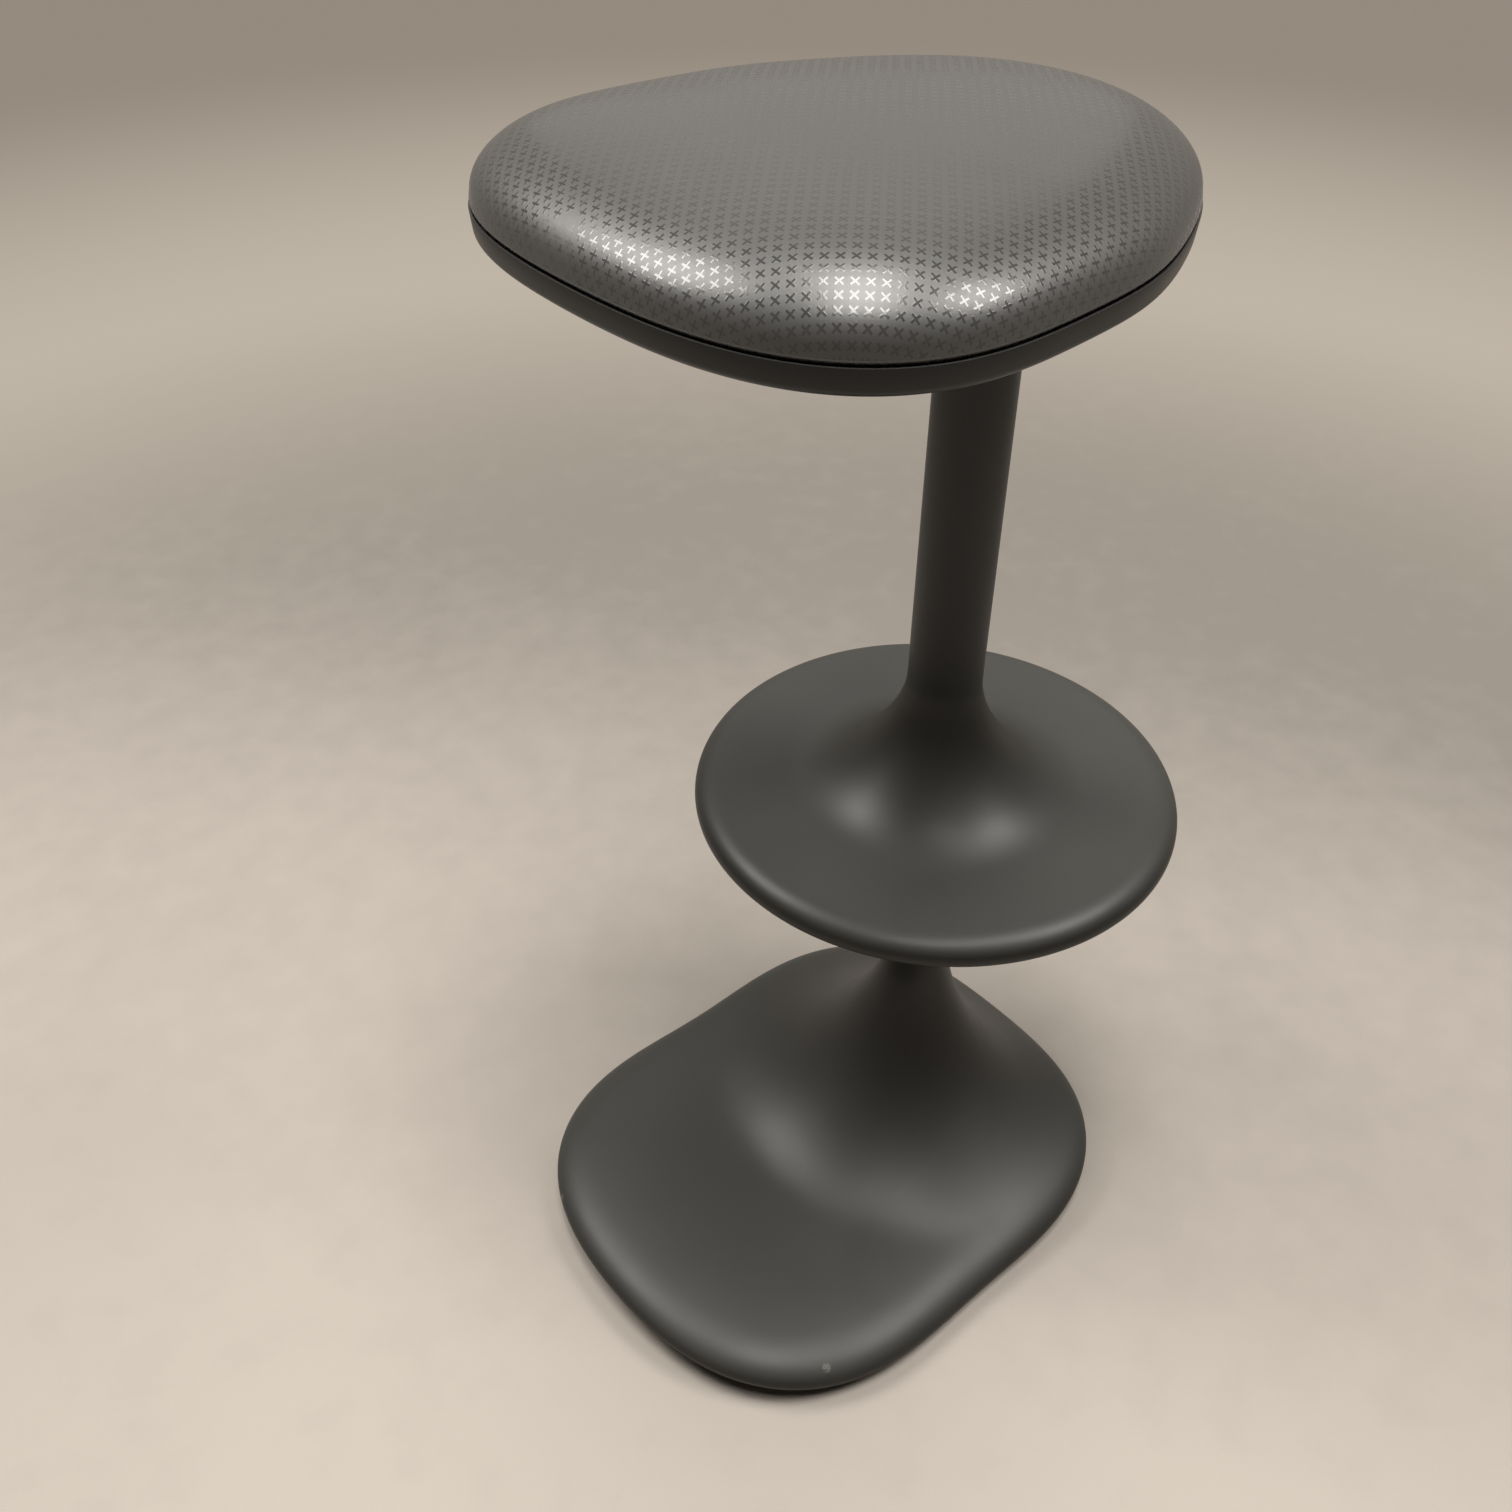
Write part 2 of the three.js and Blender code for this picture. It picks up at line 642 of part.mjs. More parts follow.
function footrestSupport() {
  const plate_radius = lip_radius - hole_gap;
  const hub_radius = weld_radius + footrest_hub_wall;
  const hub_low = footrest_plate_low - footrest_hub_height;
  const plate = turned([
    [weld_radius, footrest_plate_high],
    [plate_radius, footrest_plate_high],
    [plate_radius, footrest_plate_low],
    [hub_radius, footrest_plate_low],
    [hub_radius, hub_low],
    [weld_radius, hub_low],
    [weld_radius, footrest_plate_high],
  ]);
  const hole_low = footrest_plate_low - cut_overrun;
  const hole_high = footrest_plate_high + cut_overrun;
  const holes = rods(footrest_places, m5.shank + hole_gap, hole_low, hole_high);
  place("footrest_plate", shaped(plate, [], holes), steel, column_forward);

  const bore = hub_radius + hole_gap;
  const fairing_low = footrest_low - fairing_height;
  const fairing = [0, ...inner_neck_shares, 1].map((share) => [
    flareRadius(share, fairing_reach),
    footrest_low - share * fairing_height,
  ]);
  const cover = turned([
    [bore, footrest_cover_high],
    [lip_radius - seat_gap, footrest_cover_high],
    [lip_radius - seat_gap, footrest_low],
    ...fairing,
    [bore, fairing_low],
    [bore, footrest_cover_high],
  ]);
  const cover_holes = screwHoles(footrest_places, m5, footrest_low, footrest_head_seat, footrest_cover_high);
  place("footrest_cover", shaped(cover, [], cover_holes), charcoal, column_forward);
  footrest_places.forEach(([x, y], i) => {
    const fixing = screw(m5, footrest_screw_length);
    place(`footrest_screw_${i + 1}`, fixing, zinc, column_forward + x, y, footrest_head_seat);
  });
}

// Seat: its outline and the places of its screws
const seat_outline = outline(seat_length, seat_width, seat_harmonic_shares);
const pan_places = along(inset(seat_outline, pan_screw_inset), pan_screw_count);
const seat_plate_length = seat_length - seat_plate_front_inset - seat_plate_rear_inset;
const seat_plate_middle = (seat_plate_rear_inset - seat_plate_front_inset) / 2;
const seat_screw_places = [-1, 1].flatMap((end) => [-1, 1].map((side) => [
  seat_plate_middle + end * (seat_plate_length / 2 - seat_screw_margin),
  side * (seat_plate_width / 2 - seat_screw_margin),
]));

function seatMiddle(height) {
  return new THREE.Vector3(0, 0, height);
}

function seatPan() {
  const corner_high = seam_height - pan_band_height;
  const corner_inset = pan_band_draft + pan_corner_radius;
  const rings = [
    ring(inset(seat_outline, pan_belly_inset), pan_low),
    ...[...halving_shares].reverse().map((share) => ring(
      inset(seat_outline, corner_inset - pan_corner_radius * Math.cos(share * quarter)),
      corner_high - pan_corner_radius * Math.sin(share * quarter),
    )),
    ring(seat_outline, seam_height),
    ring(inset(seat_outline, pan_lip), seam_height),
    ring(inset(seat_outline, pan_lip), seam_height - pan_lip_depth),
    ring(inset(seat_outline, corner_inset), pan_floor),
  ];
  const pan = loft(rings, seatMiddle(pan_low), seatMiddle(pan_floor));
  const bosses = rods(pan_places, boss_radius, pan_low + boss_skin, board_low - seat_gap);
  const bore = disc(sleeve_radius, pan_low - cut_overrun, pan_floor + cut_overrun, tube_facets);
  bore.translate(column_forward, 0, 0);
  const holes = screwHoles(pan_places, m4, pan_low, pan_head_seat, board_low);
  place("seat_pan", shaped(pan, bosses, [bore, ...holes]), black_plastic);
  pan_places.forEach(([x, y], i) => {
    place(`pan_screw_${i + 1}`, screw(m4, pan_screw_length), zinc, x, y, pan_head_seat);
  });
}

function seatPlate() {
  const [x, y] = [seat_plate_length / 2, seat_plate_width / 2];
  const corner = seat_plate_corner;
  const shape = new THREE.Shape();
  shape.absarc(x - corner, y - corner, corner, 0, quarter);
  shape.absarc(corner - x, y - corner, corner, quarter, 2 * quarter);
  shape.absarc(corner - x, corner - y, corner, 2 * quarter, 3 * quarter);
  shape.absarc(x - corner, corner - y, corner, 3 * quarter, 4 * quarter);
  const plate = new THREE.ExtrudeGeometry(shape, {
    depth: seat_plate_thickness,
    bevelEnabled: false,
    curveSegments: small_facets,
  });
  plate.translate(seat_plate_middle, 0, seat_plate_low);
  const holes = screwHoles(seat_screw_places, m6, seat_plate_low, seat_head_seat, board_low);
  place("seat_plate", shaped(plate, [], holes), steel);
  seat_screw_places.forEach(([screw_x, screw_y], i) => {
    const fixing = screw(m6, seat_screw_length);
    place(`seat_screw_${i + 1}`, fixing, zinc, screw_x, screw_y, seat_head_seat);
  });
}

function seatBoard() {
  const edge = inset(seat_outline, board_inset);
  const rings = [ring(edge, board_low), ring(edge, board_high)];
  const board = loft(rings, seatMiddle(board_low), seatMiddle(board_high));
  const tee_bore = m6.shank + thread_gap;
  const barrel_radius = tee_bore + tee_barrel_wall;
  const tee_high = board_high - seat_gap;
  const tee_seat = tee_high - tee_flange_thickness;
  const over_board = board_high + cut_overrun;
  const under_board = board_low - cut_overrun;
  const pilot_high = pan_head_seat + pan_screw_length + seat_gap;
  const cutters = [
    ...rods(seat_screw_places, barrel_radius + seat_gap, under_board, over_board),
    ...rods(seat_screw_places, tee_flange_radius + seat_gap, tee_seat - seat_gap, over_board),
    ...rods(pan_places, m4.shank + thread_gap, under_board, pilot_high),
  ];
  place("seat_board", shaped(board, [], cutters), plywood);
  const tee_nut = turned([
    [tee_bore, tee_high],
    [tee_flange_radius, tee_high],
    [tee_flange_radius, tee_seat],
    [barrel_radius, tee_seat],
    [barrel_radius, tee_high - tee_barrel_length],
    [tee_bore, tee_high - tee_barrel_length],
    [tee_bore, tee_high],
  ], small_facets);
  seat_screw_places.forEach(([x, y], i) => place(`tee_nut_${i + 1}`, tee_nut.clone(), zinc, x, y));
}

// Rings of the cushion from its crown out and down to its side, sunk by the given depth
function cushionRings(sunk) {
  const side_inset = cushion_inset + sunk;
  const shoulder_width = cushion_shoulder_width - sunk;
  const shoulder_height = cushion_shoulder_height - sunk;
  const shoulder = shoulder_shares.map((share) => ring(
    inset(seat_outline, side_inset + shoulder_width * (1 - Math.cos(share * quarter))),
    seam_height + shoulder_height * Math.sin(share * quarter),
  ));
  const top = inset(seat_outline, side_inset + shoulder_width);
  const crown = crown_ring_shares.map((share) => ring(
    blend(circle(0, 0), top, share),
    seam_height + shoulder_height + cushion_crown * (1 - share ** 2),
  ));
  return [...shoulder, ...crown].reverse();
}

function crownPoint(sunk) {
  return seatMiddle(seam_height + cushion_shoulder_height + cushion_crown - sunk);
}

function cushion() {
  const tucked = cushion_inset + cushion_tuck;
  const hem_high = board_low - seat_gap;
  const hem_low = hem_high - cover_thickness;
  const board_side = board_inset - seat_gap;
  const cover_rings = [
    ...cushionRings(0),
    ring(inset(seat_outline, cushion_inset), seam_height + cushion_tuck_height),
    ring(inset(seat_outline, tucked), seam_height + cushion_lift),
    ring(inset(seat_outline, board_side - cover_thickness), hem_high),
    ring(inset(seat_outline, board_side), hem_low),
    ring(inset(seat_outline, board_side + hem_width), hem_low),
    ring(inset(seat_outline, board_side + hem_width), hem_high),
    ring(inset(seat_outline, board_side), hem_high),
    ring(inset(seat_outline, board_side), seam_height + cushion_lift),
    ring(inset(seat_outline, tucked + cover_thickness), seam_height + cushion_tuck_height),
    ...cushionRings(cover_thickness).reverse(),
  ];
  place("seat_cover", loft(cover_rings, crownPoint(0), crownPoint(cover_thickness)), cushion_cloth);

  const sunk = cover_thickness + seat_gap;
  const foam_low = board_high + seat_gap;
  const foam_edge = inset(seat_outline, tucked + sunk + seat_gap);
  const foam_rings = [...cushionRings(sunk), ring(foam_edge, foam_low)];
  place("seat_foam", loft(foam_rings, crownPoint(sunk), seatMiddle(foam_low)), pale_foam);
}

rubberMount();
baseShell();
bottomPlate();
ballast();
tubeFlange();
coreTube();
columnMoulding();
footrestSupport();
seatPan();
seatPlate();
seatBoard();
cushion();

export default stool;
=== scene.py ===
"""The looks of a wobble stool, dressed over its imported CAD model.

Lengths are in metres in the model's own frame: +X forward, +Y to the sitter's left and +Z up, with
the origin on the floor under the middle of the rubber sole. Colours are linear.
"""

import json
import logging
import math
from dataclasses import dataclass
from enum import Enum
from typing import Any, Sequence

import bpy
import numpy as np
from mathutils import Matrix, Vector


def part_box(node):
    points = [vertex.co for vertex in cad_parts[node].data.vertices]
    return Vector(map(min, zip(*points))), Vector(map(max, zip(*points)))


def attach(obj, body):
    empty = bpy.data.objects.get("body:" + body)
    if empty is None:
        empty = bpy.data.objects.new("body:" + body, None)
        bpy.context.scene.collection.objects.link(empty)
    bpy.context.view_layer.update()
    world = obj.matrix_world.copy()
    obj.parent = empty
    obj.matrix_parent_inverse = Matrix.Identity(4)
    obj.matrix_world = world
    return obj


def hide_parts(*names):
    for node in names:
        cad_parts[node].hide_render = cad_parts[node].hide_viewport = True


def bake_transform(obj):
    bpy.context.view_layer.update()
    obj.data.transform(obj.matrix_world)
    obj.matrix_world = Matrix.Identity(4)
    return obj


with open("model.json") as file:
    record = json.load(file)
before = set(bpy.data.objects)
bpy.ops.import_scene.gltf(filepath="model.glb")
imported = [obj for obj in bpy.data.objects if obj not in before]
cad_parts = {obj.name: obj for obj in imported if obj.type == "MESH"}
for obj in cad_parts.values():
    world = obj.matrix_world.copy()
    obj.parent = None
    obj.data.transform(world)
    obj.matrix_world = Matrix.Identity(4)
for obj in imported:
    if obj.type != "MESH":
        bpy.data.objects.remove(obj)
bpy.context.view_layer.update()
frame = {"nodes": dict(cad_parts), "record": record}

log = logging.getLogger("stool")
Array = np.ndarray
Colour = tuple[float, float, float]
Point = tuple[float, float, float]

FULL_TURN = 2 * math.pi
QUARTER_TURN = math.pi / 2
SMOOTH_ANGLE = math.radians(38)
SEAT_GAP = 0.0003
SLEEVE_RADIUS = 0.0194
HOLE_GAP = 0.0005
OVERRUN = 0.002


class Slot(Enum):
    """The finishes of the stool, by the names that the record gives them."""

    CHARCOAL = "charcoal_plastic"
    BLACK = "black_plastic"
    COVER = "cushion_cloth"
    FOAM = "foam"
    PLYWOOD = "plywood"
    STEEL = "steel"
    FASTENER = "fastener"
    IRON = "ballast_iron"
    RUBBER = "rubber"


class Body(Enum):
    """The bodies that the two rocking joints link."""

    FOOT = "foot"
    INTERLEAF = "interleaf"
    STOOL = "stool"


# Curves and surfaces


def soft_ramp(value: Array, width: float) -> Array:
    """Gives 0 below -width, the value itself above width, and a smooth bend between them.

    The bend is the integral of the smooth step 3x^2 - 2x^3, which is x^3 - x^4 / 2.

    Args:
        value: The numbers to ramp.
        width: Half the width of the bend.

    Returns:
        The ramped numbers.
    """
    share = np.clip((value + width) / (2 * width), 0.0, 1.0)
    bend = 2 * width * (share**3 - share**4 / 2)
    return bend + np.maximum(value - width, 0.0)


def superellipse(share: Array | float, power: float) -> Array:
    """Gives (1 - (1 - share)^power)^(1 / power), which rises from 0 to 1 with a level end."""
    return (1.0 - np.clip(1.0 - share, 0.0, 1.0) ** power) ** (1.0 / power)


def around(steps: int) -> Array:
    """Gives the evenly spaced turns of a full circle, in radians from 0."""
    return np.linspace(0.0, FULL_TURN, steps, endpoint=False)


def ray(turn: Array) -> Array:
    """Gives the unit vectors (cos a, sin a) at the turns, with [2] added to their shape."""
    return np.stack([np.cos(turn), np.sin(turn)], axis=-1)


def raised(flat: Array, height: Array | float) -> Array:
    """Gives the points [..., 3] that stand over flat ones [..., 2] at the heights given."""
    return np.concatenate([flat, np.broadcast_to(height, flat.shape[:-1])[..., None]], axis=-1)


def arc(middle: tuple[float, float], radius: float, start: float, end: float, steps: int) -> Array:
    """Gives points [step, 2] on a round arc between two angles: middle + radius * (cos a, sin a)."""
    return np.array(middle) + radius * ray(np.linspace(start, end, steps))


def eased(corner_points: Sequence[tuple[float, float]], radius: float, steps: int = 4) -> Array:
    """Rounds every inner corner of an open line of [across, up] points.

    Each corner becomes a quadratic curve (1-t)^2 a + 2t(1-t) corner + t^2 b, where a and b lie the
    radius away from it on the two sides, or a third of a side away where the side is short.

    Args:
        corner_points: The corners in order.
        radius: How far from its corner a curve starts.
        steps: The points on each curve.

    Returns:
        The line [point, 2] with its first and last corner kept.
    """
    line = np.array(corner_points, float)
    before = line[:-2] - line[1:-1]
    after = line[2:] - line[1:-1]
    back = np.linalg.norm(before, axis=1, keepdims=True)
    ahead = np.linalg.norm(after, axis=1, keepdims=True)
    first = line[1:-1] + before / back * np.minimum(radius, back / 3)
    last = line[1:-1] + after / ahead * np.minimum(radius, ahead / 3)
    t = np.linspace(0.0, 1.0, steps)[None, :, None]
    bends = (1 - t) ** 2 * first[:, None] + 2 * t * (1 - t) * line[1:-1, None] + t**2 * last[:, None]
    return np.concatenate([line[:1], bends.reshape(-1, 2), line[-1:]])


def smooth(mesh: bpy.types.Mesh) -> None:
    """Shades a mesh smooth and keeps its sharp edges sharp."""
    mesh.shade_smooth()
    mesh.set_sharp_from_angle(angle=SMOOTH_ANGLE)


def make_object(name: str, points: Array, faces: Sequence[Sequence[int]]) -> bpy.types.Object:
    """Makes a smooth mesh object at the origin.

    Args:
        name: The piece's name.
        points: Its points [n, 3].
        faces: The corner numbers of its faces.

    Returns:
        The object, linked into the scene.
    """
    mesh = bpy.data.meshes.new(name)
    mesh.from_pydata(points.tolist(), [], faces)
    mesh.validate()
    smooth(mesh)
    piece = bpy.data.objects.new(name, mesh)
    bpy.context.scene.collection.objects.link(piece)
    return piece


def read(items: Any, name: str, width: int, kind: type = np.float32) -> Array:
    """Reads one property of every item of a mesh.

    Args:
        items: Its vertices, edges or loops.
        name: The property.
        width: How many numbers an item has.
        kind: The type of the numbers.

    Returns:
        The numbers [item, width].
    """
    values = np.zeros(len(items) * width, kind)
    items.foreach_get(name, values)
    return values.reshape(-1, width)


def signed_volume(points: Array, faces: Array) -> float:
    """Gives the volume inside four-sided faces, which is negative where they face inwards.

    The sum of a . (b x c) over the triangles of a closed skin is six times its volume.

    Args:
        points: The points [n, 3].
        faces: The corner numbers [m, 4].

    Returns:
        The volume in cubic metres.
    """
    a, b, c, d = (points[faces[:, k]] for k in range(4))
    first = np.einsum("ij,ij->i", a, np.cross(b, c))
    second = np.einsum("ij,ij->i", a, np.cross(c, d))
    return float((first.sum() + second.sum()) / 6)


def bands(band_count: int, count: int, total: int) -> Array:
    """Gives the four-sided faces that join rings of points, each ring to the next one.

    Args:
        band_count: How many rings have a band after them.
        count: The points of a ring.
        total: The points of all rings, after which the numbers start again at 0.

    Returns:
        The corner numbers [face, 4].
    """
    start = np.arange(band_count)[:, None] * count
    here = (start + np.arange(count)).ravel()
    beside = (start + (np.arange(count) + 1) % count).ravel()
    return np.stack([here, beside, (beside + count) % total, (here + count) % total], axis=1)


def loft(name: str, rings: Array, poles: Sequence[Point] | None = None) -> bpy.types.Object:
    """Joins rings into one closed skin that faces outwards.

    Point j of ring i is joined to points j and j+1 of ring i+1. With two poles the first and last
    rings close on them, and without poles the last ring joins the first.

    Args:
        name: The piece's name.
        rings: The points [ring, point, 3].
        poles: The points that close the two ends.

    Returns:
        The object.
    """
    ring_count, count = rings.shape[:2]
    total = ring_count * count
    points = rings.reshape(-1, 3)
    quads = bands(ring_count if poles is None else ring_count - 1, count, total)
    fans = np.zeros((0, 3), int)
    if poles is not None:
        points = np.concatenate([points, np.array(poles, float)])
        j = np.arange(count)
        k = (j + 1) % count
        start = np.stack([np.full(count, total), k, j], axis=1)
        end = np.stack([np.full(count, total + 1), total - count + j, total - count + k], axis=1)
        fans = np.concatenate([start, end])
    if signed_volume(points, np.concatenate([quads, fans[:, [0, 1, 2, 2]]])) < 0:
        quads = quads[:, ::-1]
        fans = fans[:, ::-1]
    return make_object(name, points, quads.tolist() + fans.tolist())


def turned(
    name: str,
    profile: Array,
    middle: Sequence[float] = (0.0, 0.0),
    facets: int = 96,
    poles: tuple[float, float] | None = None,
) -> bpy.types.Object:
    """Turns a profile about an upright axis: x = middle + r cos a, y = middle + r sin a, z kept.

    Args:
        name: The piece's name.
        profile: The profile [point, 2] as radius and height.
        middle: Where the axis stands.
        facets: The steps in a full turn.
        poles: The heights of the two points on the axis that close a solid profile.

    Returns:
        The object.
    """
    flat = np.array(middle) + profile[:, :1, None] * ray(around(facets))
    ends = None if poles is None else [(*middle, z) for z in poles]
    return loft(name, raised(flat, profile[:, 1:]), ends)


def cut(piece: bpy.types.Object, cutters: Sequence[bpy.types.Object]) -> None:
    """Takes closed cutters out of a closed piece and removes them.

    Args:
        piece: The piece whose mesh is replaced by the cut one.
        cutters: The closed solids to take out.
    """
    for cutter in cutters:
        boolean = piece.modifiers.new("cut", "BOOLEAN")
        boolean.operation = "DIFFERENCE"
        boolean.solver = "EXACT"
        boolean.object = cutter
    graph = bpy.context.evaluated_depsgraph_get()
    mesh = bpy.data.meshes.new_from_object(piece.evaluated_get(graph))
    piece.modifiers.clear()
    piece.data = mesh
    for cutter in cutters:
        bpy.data.objects.remove(cutter)
    smooth(mesh)


def corners(node: str) -> tuple[Array, Array]:
    """Gives the lowest and highest corner of a CAD node."""
    low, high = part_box(node)
    return np.array(low), np.array(high)


def axis_of(node: str) -> Array:
    """Gives the place [2] of a CAD node's upright axis, which is the middle of its box."""
    low, high = corners(node)
    return (low[:2] + high[:2]) / 2


def numbered(stem: str, count: int) -> list[str]:
    """Gives the names of a set of CAD nodes, which count up from 1."""
    return [f"{stem}_{number}" for number in range(1, count + 1)]


@dataclass(frozen=True)
class Outline:
    """A rounded outline about the origin.

    The radius of a circle swings by shares of itself two, three, four and five times round:
    r(t) = 1 + sum of share_k cos((k + 2) t). The result is stretched to the length and width.

    Attributes:
        length: Its size along X.
        width: Its size along Y.
        harmonic_shares: The swings, as shares of the radius.
    """

    length: float
    width: float
    harmonic_shares: tuple[float, ...]

    def _raw(self, turn: Array) -> tuple[Array, Array]:
        """Gives the unstretched points and the way along the line at each turn.

        Args:
            turn: The turns in radians, of any shape.

        Returns:
            Points and derivatives, each of that shape with [2] added.
        """
        order = np.arange(len(self.harmonic_shares)) + 2
        swing = np.array(self.harmonic_shares)
        radius = 1 + (swing * np.cos(order * turn[..., None])).sum(-1, keepdims=True)
        growth = -(swing * order * np.sin(order * turn[..., None])).sum(-1, keepdims=True)
        return radius * ray(turn), growth * ray(turn) + radius * ray(turn + QUARTER_TURN)

    def drawn_in(self, turn: Array, depth: Array | float = 0.0) -> Array:
        """Gives points of the outline moved in, square to itself.

        Args:
            turn: The turns in radians.
            depth: How far in, of a shape that fits the turns.

        Returns:
            The points, with [2] added to the shape.
        """
        dense, _ = self._raw(around(720))
        low, high = dense.min(axis=0), dense.max(axis=0)
        stretch = np.array([self.length, self.width]) / (high - low)
        middle = np.array([(low[0] + high[0]) / 2, 0.0])
        point, way = self._raw(turn)
        way = way * stretch
        outward = np.stack([way[..., 1], -way[..., 0]], axis=-1)
        outward = outward / np.linalg.norm(outward, axis=-1, keepdims=True)
        return (point - middle) * stretch - outward * np.asarray(depth)[..., None]

    def rings(self, turn: Array, depth: Array) -> Array:
        """Gives the outline at every depth, as flat rings [depth, turn, 2]."""
        return self.drawn_in(*np.broadcast_arrays(turn, depth[:, None]))


@dataclass(frozen=True)
class Flare:
    """A concave flare from an upright column out to a level face.

    With left = 1 - (r - column radius) / reach, its height share is
    1 - (1 - left^power)^(1 / power). Both ends are eased, so that neither shows a crease.

    Attributes:
        height: Its full height.
        column_radius: The radius where it is upright.
        power: The power of the superellipse that it follows.
        top_ease: Half the eased share of the height at the column.
        foot_ease: Half the eased share of the reach at the face.
    """

    height: float
    column_radius: float = 0.0244
    power: float = 1.66
    top_ease: float = 0.12
    foot_ease: float = 0.15

    def radius(self, height_share: Array, reach: Array | float) -> Array:
        """Gives the radius where the flare stands a share of its height."""
        left = superellipse(1.0 - soft_ramp(1.0 - height_share, self.top_ease), self.power)
        return self.column_radius + (1.0 - left) * reach

    def rise(self, radius: Array, reach: Array | float) -> Array:
        """Gives the height of the flare at a radius."""
        left = soft_ramp(1.0 - (radius - self.column_radius) / reach, self.foot_ease)
        return self.height * (1.0 - superellipse(1.0 - left, self.power))


# Shader maths


class Value:
    """A shader socket that stands in Python sums: each operator adds the Math node for it."""

    def __init__(self, nodes: "Nodes", socket: bpy.types.NodeSocket) -> None:
        """Keeps the socket and the tree that it is in."""
        self.nodes = nodes
        self.socket = socket

    def __add__(self, other: "Value | float") -> "Value":
        """Adds."""
        return self.nodes.math("ADD", self, other)

    def __radd__(self, other: float) -> "Value":
        """Adds to a number."""
        return self.nodes.math("ADD", other, self)

    def __sub__(self, other: "Value | float") -> "Value":
        """Subtracts."""
        return self.nodes.math("SUBTRACT", self, other)

    def __rsub__(self, other: float) -> "Value":
        """Subtracts from a number."""
        return self.nodes.math("SUBTRACT", other, self)

    def __mul__(self, other: "Value | float") -> "Value":
        """Multiplies."""
        return self.nodes.math("MULTIPLY", self, other)

    def __truediv__(self, other: "Value | float") -> "Value":
        """Divides."""
        return self.nodes.math("DIVIDE", self, other)

    def size(self) -> "Value":
        """Gives the number without its sign."""
        return self.nodes.math("ABSOLUTE", self)

    def fraction(self) -> "Value":
        """Gives what is left over whole numbers."""
        return self.nodes.math("FRACT", self)

    def wave(self) -> "Value":
        """Gives the sine."""
        return self.nodes.math("SINE", self)

    def most(self, other: "Value | float") -> "Value":
        """Gives the larger of two numbers."""
        return self.nodes.math("MAXIMUM", self, other)

    def step(self, low: float, high: float) -> "Value":
        """Gives a smooth step from 0 at low to 1 at high, which falls where high is below low."""
        inputs = {"Value": self, "From Min": low, "From Max": high, "To Min": 0.0, "To Max": 1.0}
        return self.nodes.value("ShaderNodeMapRange", inputs, interpolation_type="SMOOTHSTEP")


class Nodes:
    """A node tree under construction, and the maths between its nodes."""

    def __init__(self, tree: bpy.types.NodeTree) -> None:
        """Empties the tree."""
        self.tree = tree
        self.tree.nodes.clear()

    def add(self, kind: str, inputs: dict[str | int, Any] | None = None, **settings: Any) -> bpy.types.Node:
        """Adds a node.

        Args:
            kind: The node's type.
            inputs: The values or links of its sockets, by name or number.
            settings: Its properties, which are set first.

        Returns:
            The node.
        """
        node = self.tree.nodes.new(kind)
        for key, value in settings.items():
            setattr(node, key, value)
        for key, value in (inputs or {}).items():
            self.feed(node.inputs[key], value)
        return node

    def feed(self, socket: bpy.types.NodeSocket, value: Any) -> None:
        """Links a socket, or sets its value.

        Args:
            socket: The socket to feed.
            value: A Value, a socket, a number, or three numbers for a colour or a vector.
        """
        if isinstance(value, Value):
            value = value.socket
        if isinstance(value, bpy.types.NodeSocket):
            self.tree.links.new(value, socket)
        elif socket.type == "RGBA":
            socket.default_value = (*value, 1.0)
        else:
            socket.default_value = value

    def value(self, kind: str, inputs: dict[str | int, Any], output: str | int = 0, **settings: Any) -> Value:
        """Adds a node and gives one of its outputs."""
        return Value(self, self.add(kind, inputs, **settings).outputs[output])

    def math(self, operation: str, *numbers: Value | float) -> Value:
        """Adds a Math node for one or two numbers."""
        return self.value("ShaderNodeMath", dict(enumerate(numbers)), operation=operation)

    def mix(self, share: Value | float, first: Any, second: Any) -> bpy.types.NodeSocket:
        """Mixes two colours by the share of the second one."""
        return self.add("ShaderNodeMix", {0: share, 6: first, 7: second}, data_type="RGBA").outputs[2]

    def blend(self, share: Value, first: bpy.types.Node, second: bpy.types.Node) -> bpy.types.NodeSocket:
        """Mixes two shaders by the share of the second one."""
        inputs = {0: share, 1: first.outputs[0], 2: second.outputs[0]}
        return self.add("ShaderNodeMixShader", inputs).outputs[0]

    def seen(self) -> Value:
        """Gives 1 to the camera and to mirror-like or clear surfaces, and 0 to all other light.

        Returns:
            The value.
        """
        path = self.add("ShaderNodeLightPath")
        seen = Value(self, path.outputs["Is Camera Ray"])
        for kind in ("Is Glossy Ray", "Is Transmission Ray"):
            seen = seen.most(Value(self, path.outputs[kind]))
        return seen


